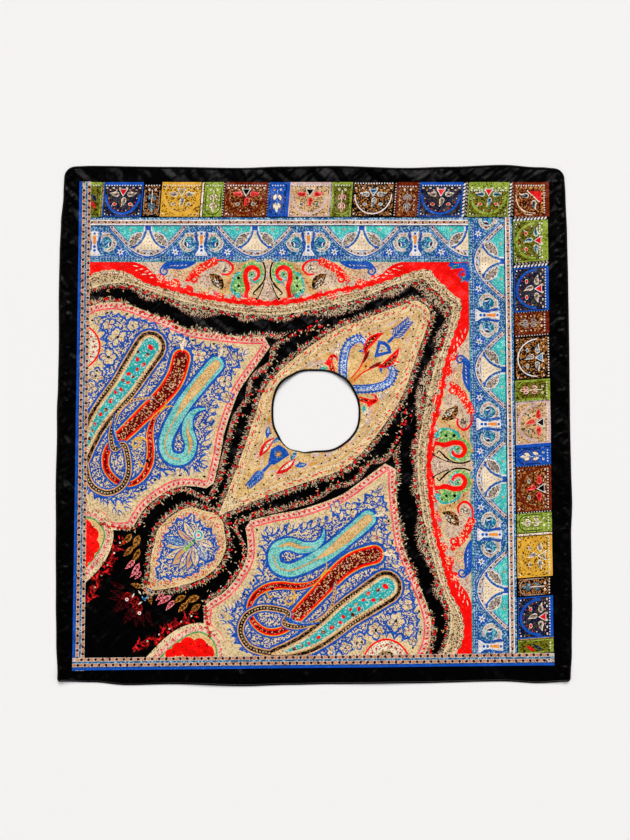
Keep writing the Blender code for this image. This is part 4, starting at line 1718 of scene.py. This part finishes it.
def owners_of(middles, outlines):
    """The last outline round each triangle's middle, or -1 outside the cloth."""
    cells = np.floor(middles / CELL).astype(int) + CELLS_LEFT
    keys = cells[:, 1] * ROW + cells[:, 0]
    order = np.argsort(keys, kind="stable")
    keys = keys[order]
    owner = np.full(len(middles), -1)
    barred = np.zeros(len(middles), bool)
    for index, shape in enumerate(outlines):
        shape = np.asarray(shape, float)
        low = np.floor(shape.min(0) / CELL).astype(int) + CELLS_LEFT
        high = np.floor(shape.max(0) / CELL).astype(int) + CELLS_LEFT
        near = np.concatenate([order[np.searchsorted(keys, row * ROW + low[0]):
                                     np.searchsorted(keys, row * ROW + high[0], side="right")]
                               for row in range(low[1], high[1] + 1)])
        held = near[wound_round(middles[near], shape)]
        if index == 1:
            barred[held] = True
        else:
            owner[held] = index
    outside = np.ones(len(middles), bool)
    outside[wound_round(middles, np.asarray(outlines[0], float))] = False
    owner[outside | barred] = -1
    return owner


def wound_round(middles, shape):
    """Which of the places the outline goes round."""
    x, y = middles.T
    turns = np.zeros(len(middles), int)
    for (ax, ay), (bx, by) in zip(shape, np.roll(shape, -1, 0)):
        if ay == by:
            continue
        left = (bx - ax) * (y - ay) - (x - ax) * (by - ay)
        turns += (ay <= y) & (by > y) & (left > 0)
        turns -= (by <= y) & (ay > y) & (left < 0)
    return np.nonzero(turns)[0]


def rims_of(triangles):
    """The loops of corners along the edges that only one triangle has, in its own turn."""
    pairs = {tuple(edge) for edge in sides_of(triangles).tolist()}
    onward = {a: b for a, b in pairs if (b, a) not in pairs}
    loops = []
    while onward:
        start, step = onward.popitem()
        loop = [start, step]
        while step in onward:
            step = onward.pop(step)
            loop.append(step)
        loops.append(loop[:-1])
    return loops


def surface_normals(x, y):
    """The slope of the cloth as unit normals."""
    step = SLOPE_STEP
    dx = (cloth_height(x + step, y) - cloth_height(x - step, y)) / (2 * step)
    dy = (cloth_height(x, y + step) - cloth_height(x, y - step)) / (2 * step)
    normals = np.stack([-dx, -dy, np.ones_like(dx)], 1)
    return normals / np.linalg.norm(normals, axis=1, keepdims=True)


def sides_between(upper, lower, loops, low_rim):
    """The cut edges: two triangles from each edge of a loop to the nearest rim corners below."""
    sides = []
    for loop in loops:
        away = [np.hypot(*(lower[low_rim] - upper[corner]).T) for corner in loop]
        below = [low_rim[distances.argmin()] + len(upper) for distances in away]
        for k in range(len(loop)):
            sides.append((loop[k], loop[k - 1], below[k - 1]))
            sides.append((loop[k], below[k - 1], below[k]))
    return np.array(sides)


def make_silk():
    """The printed cloth: its upper face, a coarser underside, and the cut edges between."""
    shapes = [from_print(points) for points, _ in art.shapes]
    names = ["black", "black"] + [name for _, name in art.shapes]
    cut = [outline(HEM_WIDTH - HEM_TUCK), neck_points(NECK_TUCK)]
    upper, upper_faces, owner = inked(cut + shapes, names, cloth_grid(GRID, BORDER_GRID), SLACK)
    loops = rims_of(upper_faces)
    rims = sorted((upper[loop] for loop in loops), key=lambda rim: -np.ptp(rim[:, 0]))
    low_names = ["black"] * len(rims) + [names[index + 2] for index in art.through]
    lower, lower_faces, low_owner = inked(rims + [shapes[index] for index in art.through],
                                          low_names, cloth_grid(UNDER_GRID, UNDER_GRID), 0)
    sides = sides_between(upper, lower, loops, np.concatenate(rims_of(lower_faces)))
    faces = np.concatenate([upper_faces, lower_faces[:, ::-1] + len(upper), sides])
    places = np.concatenate([to_frame(*upper.T, cloth_height(*upper.T)),
                             to_frame(*lower.T, lift_height(*lower.T) + CLEARANCE)])
    mesh = bpy.data.meshes.new("printed_silk")
    mesh.from_pydata(places.tolist(), [], faces.tolist())
    colour_faces(mesh, [names[index] for index in owner]
                 + [low_names[index] for index in low_owner] + ["black"] * len(sides))
    # a flat map of the laid cloth
    flat = mesh.uv_layers.new(name="OFBake")
    flat.data.foreach_set("uv", np.clip(places[faces.reshape(-1), :2] / MAP_WIDTH + 0.5, 0, 1)
                          .astype(np.float32).reshape(-1))
    mesh.shade_smooth()
    normals = np.concatenate([surface_normals(*upper.T), -surface_normals(*lower.T)])
    mesh.normals_split_custom_set_from_vertices(normals.tolist())
    return placed_in_scene("printed_silk", mesh)


def colour_faces(mesh, names):
    """Each face's ink and its specks, for the material to read.

    The ink's alpha is 1 where the specks are coarse, and the specks' is the share they cover.
    """
    inks = {name: (linear(ground) + [float(name == COARSE_INK)], linear(speck) + [share])
            for name, (ground, speck, share) in INKS.items()}
    for layer_name, colours in zip(("ink", "speck"), zip(*(inks[name] for name in names))):
        layer = mesh.attributes.new(layer_name, "FLOAT_COLOR", "CORNER")
        corners = np.repeat(np.array(colours, np.float32), 3, 0)
        layer.data.foreach_set("color", corners.reshape(-1))


def placed_in_scene(name, data):
    """A new object of the scene, with its mesh, light or camera."""
    thing = bpy.data.objects.new(name, data)
    bpy.context.scene.collection.objects.link(thing)
    return thing


def lofted(name, sections, closed):
    """A closed solid through sections of equal length, joined end to end or capped."""
    shape = bmesh.new()
    rows = [[shape.verts.new(point) for point in section] for section in sections]
    pairs = list(zip(rows, rows[1:]))
    if closed:
        pairs.append((rows[-1], rows[0]))
    else:
        shape.faces.new(rows[0])
        shape.faces.new(rows[-1])
    for here, beyond in pairs:
        for index in range(len(here)):
            before = index - 1
            shape.faces.new((here[before], here[index], beyond[index], beyond[before]))
    bmesh.ops.recalc_face_normals(shape, faces=shape.faces)
    mesh = bpy.data.meshes.new(name)
    shape.to_mesh(mesh)
    shape.free()
    mesh.shade_smooth()
    return placed_in_scene(name, mesh)


ROLL_SIDES = 9


def rolled():
    """A rolled edge's cross-section, flat underneath, as shares of its width and height."""
    turns = [2 * math.pi * (step + 0.5) / ROLL_SIDES - math.pi / 2 for step in range(ROLL_SIDES)]
    return [(0.5 + 0.5 * math.cos(turn), max(0.0, 0.5 + 0.58 * math.sin(turn)))
            for turn in turns]


HEM_STEPS = 300
STITCH = 3.3  # steps of the hem from one stitch to the next
PINCH = 0.16  # share of the roll's height that a stitch takes away


def make_hems():
    """The rolled hem, a length for each side, pinched a little at each hand stitch."""
    per_side = HEM_STEPS + CORNER_STEPS
    section = rolled()
    tracks = [outline(HEM_WIDTH * (1 - across), HEM_STEPS) for across, _ in section]
    hems = []
    for index, side in enumerate(SIDE_NAMES):
        sections = []
        for step in range(per_side + 1):
            at = (index * per_side + CORNER_STEPS // 2 + step) % len(tracks[0])
            pinch = 1 - PINCH * (1 + math.cos(2 * math.pi * step / STITCH)) / 2
            points = []
            for track, (_, up) in zip(tracks, section):
                x, y = track[at]
                lift = lift_height(np.array([x]), np.array([y]))[0]
                points.append(to_frame(x, y, lift + HEM_HEIGHT * pinch * up))
            sections.append(points)
        hems.append(lofted("silk_hem_" + side, sections, False))
    return hems


# The binding turns under at the lower left, where only its edge shows.
BINDING_SHOWS = (
    # angle_deg, width_mm
    (0, 3.6), (40, 3.9), (90, 3.5), (130, 4.0), (180, 3.7), (212, 3.4), (226, 1.6), (238, 1.0),
    (250, 1.6), (262, 3.0), (300, 3.6), (360, 3.6),
)


BINDING_STEPS = 240


def make_binding():
    """The narrow binding round the neck opening."""
    width = read_across(BINDING_SHOWS, np.arange(BINDING_STEPS) / BINDING_STEPS * 360)
    section = rolled()
    tracks = [neck_points(width * (1 - across), BINDING_STEPS) for across, _ in section]
    lifts = [lift_height(*track.T) for track in tracks]
    sections = []
    for step in range(BINDING_STEPS):
        high = BINDING_HEIGHT * (0.55 + 0.45 * width[step] / BINDING_WIDTH)
        sections.append([to_frame(*track[step], lift[step] + high * up)
                         for track, lift, (_, up) in zip(tracks, lifts, section)])
    return lofted("silk_binding", sections, True)


# -------- materials

def add_node(tree, kind, settings=None, **links):
    """A node with its settings, and its sockets set to values or linked to other sockets."""
    node = tree.nodes.new(kind)
    for name, value in (settings or {}).items():
        setattr(node, name, value)
    for name, value in links.items():
        socket = node.inputs[int(name[1:])] if name[0] == "i" and name[1:].isdigit() \
            else node.inputs[name.replace("_", " ")]
        if isinstance(value, bpy.types.NodeSocket):
            tree.links.new(value, socket)
        else:
            socket.default_value = value
    return node


def surface(name, roughness, gloss):
    """A new material, and the shader that its colour goes into."""
    material = bpy.data.materials.new(name)
    material.use_nodes = True
    shader = material.node_tree.nodes["Principled BSDF"]
    shader.inputs["Roughness"].default_value = roughness
    shader.inputs["Specular IOR Level"].default_value = gloss
    return material, shader


WAVE_DEPTH = 7  # from the deepest to the highest place of the noise, which it rarely meets
SATIN_WAVES = (
    # turn, stretch, pitch, share
    (0.8, 2.5, 30, 1.0), (-0.9, 2.2, 15, 0.35),
)
SPECK_PITCH = (1.7, 2.3)  # of the fine specks, and of the coarse ones


def satin_waves(tree, place, shader):
    """Soft unevenness that breaks up the shine, as in silk that has been folded and smoothed."""
    heights = []
    for turn, stretch, pitch, share in SATIN_WAVES:
        lain = add_node(tree, "ShaderNodeMapping", {"vector_type": "TEXTURE"}, Vector=place,
                        Rotation=(0, 0, turn), Scale=(1, stretch, 1))
        noise = add_node(tree, "ShaderNodeTexNoise", {"noise_dimensions": "2D"},
                         Vector=lain.outputs["Vector"], Scale=1 / (pitch * MM), Detail=1.0)
        heights.append(add_node(tree, "ShaderNodeMath", {"operation": "MULTIPLY"},
                                i0=noise.outputs[0], i1=share).outputs[0])
    both = add_node(tree, "ShaderNodeMath", {"operation": "ADD"}, i0=heights[0], i1=heights[1])
    bump = add_node(tree, "ShaderNodeBump", Strength=1.0, Distance=WAVE_DEPTH * MM,
                    Height=both.outputs[0])
    tree.links.new(bump.outputs["Normal"], shader.inputs["Normal"])


def silk_material():
    """Printed silk satin: smooth floats of thread that shine softly, with the ink in them."""
    material, shader = surface("printed silk satin", 0.28, 0.08)
    tree = material.node_tree
    place = add_node(tree, "ShaderNodeTexCoord").outputs["Object"]
    ink = add_node(tree, "ShaderNodeVertexColor", {"layer_name": "ink"})
    speck = add_node(tree, "ShaderNodeVertexColor", {"layer_name": "speck"})
    # fine leaves and dots of the print, one ink or the other to each small cell
    draws = []
    for pitch in SPECK_PITCH:
        cells = add_node(tree, "ShaderNodeTexVoronoi", {"voronoi_dimensions": "2D"},
                         Vector=place, Scale=1 / (pitch * MM), Randomness=1.0)
        draws.append(add_node(tree, "ShaderNodeSeparateColor", Color=cells.outputs["Color"]))
    draw = add_node(tree, "ShaderNodeMix", {"data_type": "FLOAT"}, Factor=ink.outputs["Alpha"],
                    A=draws[0].outputs["Red"], B=draws[1].outputs["Red"]).outputs[0]
    mask = add_node(tree, "ShaderNodeMath", {"operation": "LESS_THAN"}, i0=draw,
                    i1=speck.outputs["Alpha"]).outputs[0]
    colour = add_node(tree, "ShaderNodeMix", {"data_type": "RGBA"}, Factor=mask,
                      i6=ink.outputs["Color"], i7=speck.outputs["Color"])
    tree.links.new(colour.outputs[2], shader.inputs["Base Color"])
    satin_waves(tree, place, shader)
    return material


def plain(name, ground, roughness, gloss=0.2):
    """One colour all over, as the black silk of the hem and of the binding is dyed."""
    material, shader = surface(name, roughness, gloss)
    shader.inputs["Base Color"].default_value = (*linear(ground), 1)
    return material


def dressed(thing, material):
    """The piece, wearing only this material."""
    thing.data.materials.clear()
    thing.data.materials.append(material)
    return thing


panel = dressed(make_silk(), silk_material())
# The hem is rolled from the satin, so it shines a little. The binding is cut across the
# threads, which makes it duller.
hem_silk = plain("black silk hem", "#040405", 0.32)
binding_silk = plain("black silk binding", "#030303", 0.5)
hems = [dressed(hem, hem_silk) for hem in make_hems()]
binding = dressed(make_binding(), binding_silk)

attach(panel, "root")
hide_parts(*("silk_panel_" + side for side in SIDE_NAMES))
for hem, side in zip(hems, SIDE_NAMES):
    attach(hem, "root")
    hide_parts("hem_" + side)
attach(binding, "root")
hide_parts("neck_binding")


# -------- floor, light and camera

def make_floor():
    """A plain pale surface."""
    mesh = bpy.data.meshes.new("floor")
    mesh.from_pydata([(-3, -3, 0), (3, -3, 0), (3, 3, 0), (-3, 3, 0)], [], [(0, 1, 2, 3)])
    board = plain("pale painted board", "#eeefed", 0.8, 0.5)
    dressed(placed_in_scene("floor", mesh), board)


LAMPS = (
    # name, the way it shines from, how wide it looks (degrees), strength, colour
    ("window", (0.1, 1.0, 0.88), 34, 2.3, "#fffaf8"),
    ("left fill", (-1.0, 0.1, 0.75), 50, 0.69, "#f6f7fb"),
    ("right fill", (1.0, 0.0, 0.75), 50, 0.65, "#f6f7fb"),
    ("front fill", (0.0, -1.0, 0.6), 50, 0.31, "#fbfbff"),
    ("ceiling", (0.05, 0.36, 0.94), 8, 0.3, "#fdf4fb"),
)


def make_lamps():
    """Soft studio light, mostly from beyond the top edge."""
    for name, way, width, strength, colour in LAMPS:
        light = bpy.data.lights.new(name, "SUN")
        light.angle = math.radians(width)
        light.energy = strength
        light.color = linear(colour)
        lamp = placed_in_scene(name, light)
        lamp.location = Vector(way) * 2
        lamp.rotation_euler = Vector(way).to_track_quat("Z", "Y").to_euler()
    world = bpy.data.worlds.new("studio")
    world.use_nodes = True
    backdrop = world.node_tree.nodes["Background"]
    backdrop.inputs["Color"].default_value = (*linear("#f4f5f7"), 1)
    backdrop.inputs["Strength"].default_value = 0.045
    scene = bpy.context.scene
    scene.world = world
    scene.view_settings.view_transform = "Standard"
    scene.view_settings.look = "Medium High Contrast"


CAMERA_AWAY = 1.421  # metres
CAMERA_ABOVE = 87.3  # degrees above the surface, over the bottom half
CAMERA_AIM = (2.1 * MM, 3.0 * MM, 0)


def make_camera():
    """The photo's view, from almost straight above."""
    data = bpy.data.cameras.new("camera")
    data.lens = 35
    data.sensor_width = 36
    camera = placed_in_scene("camera", data)
    above = math.radians(CAMERA_ABOVE)
    way = Vector((0, -math.cos(above), math.sin(above)))
    camera.location = Vector(CAMERA_AIM) + CAMERA_AWAY * way
    camera.rotation_euler = (math.pi / 2 - above, 0, 0)
    bpy.context.scene.camera = camera


make_floor()
make_lamps()
make_camera()
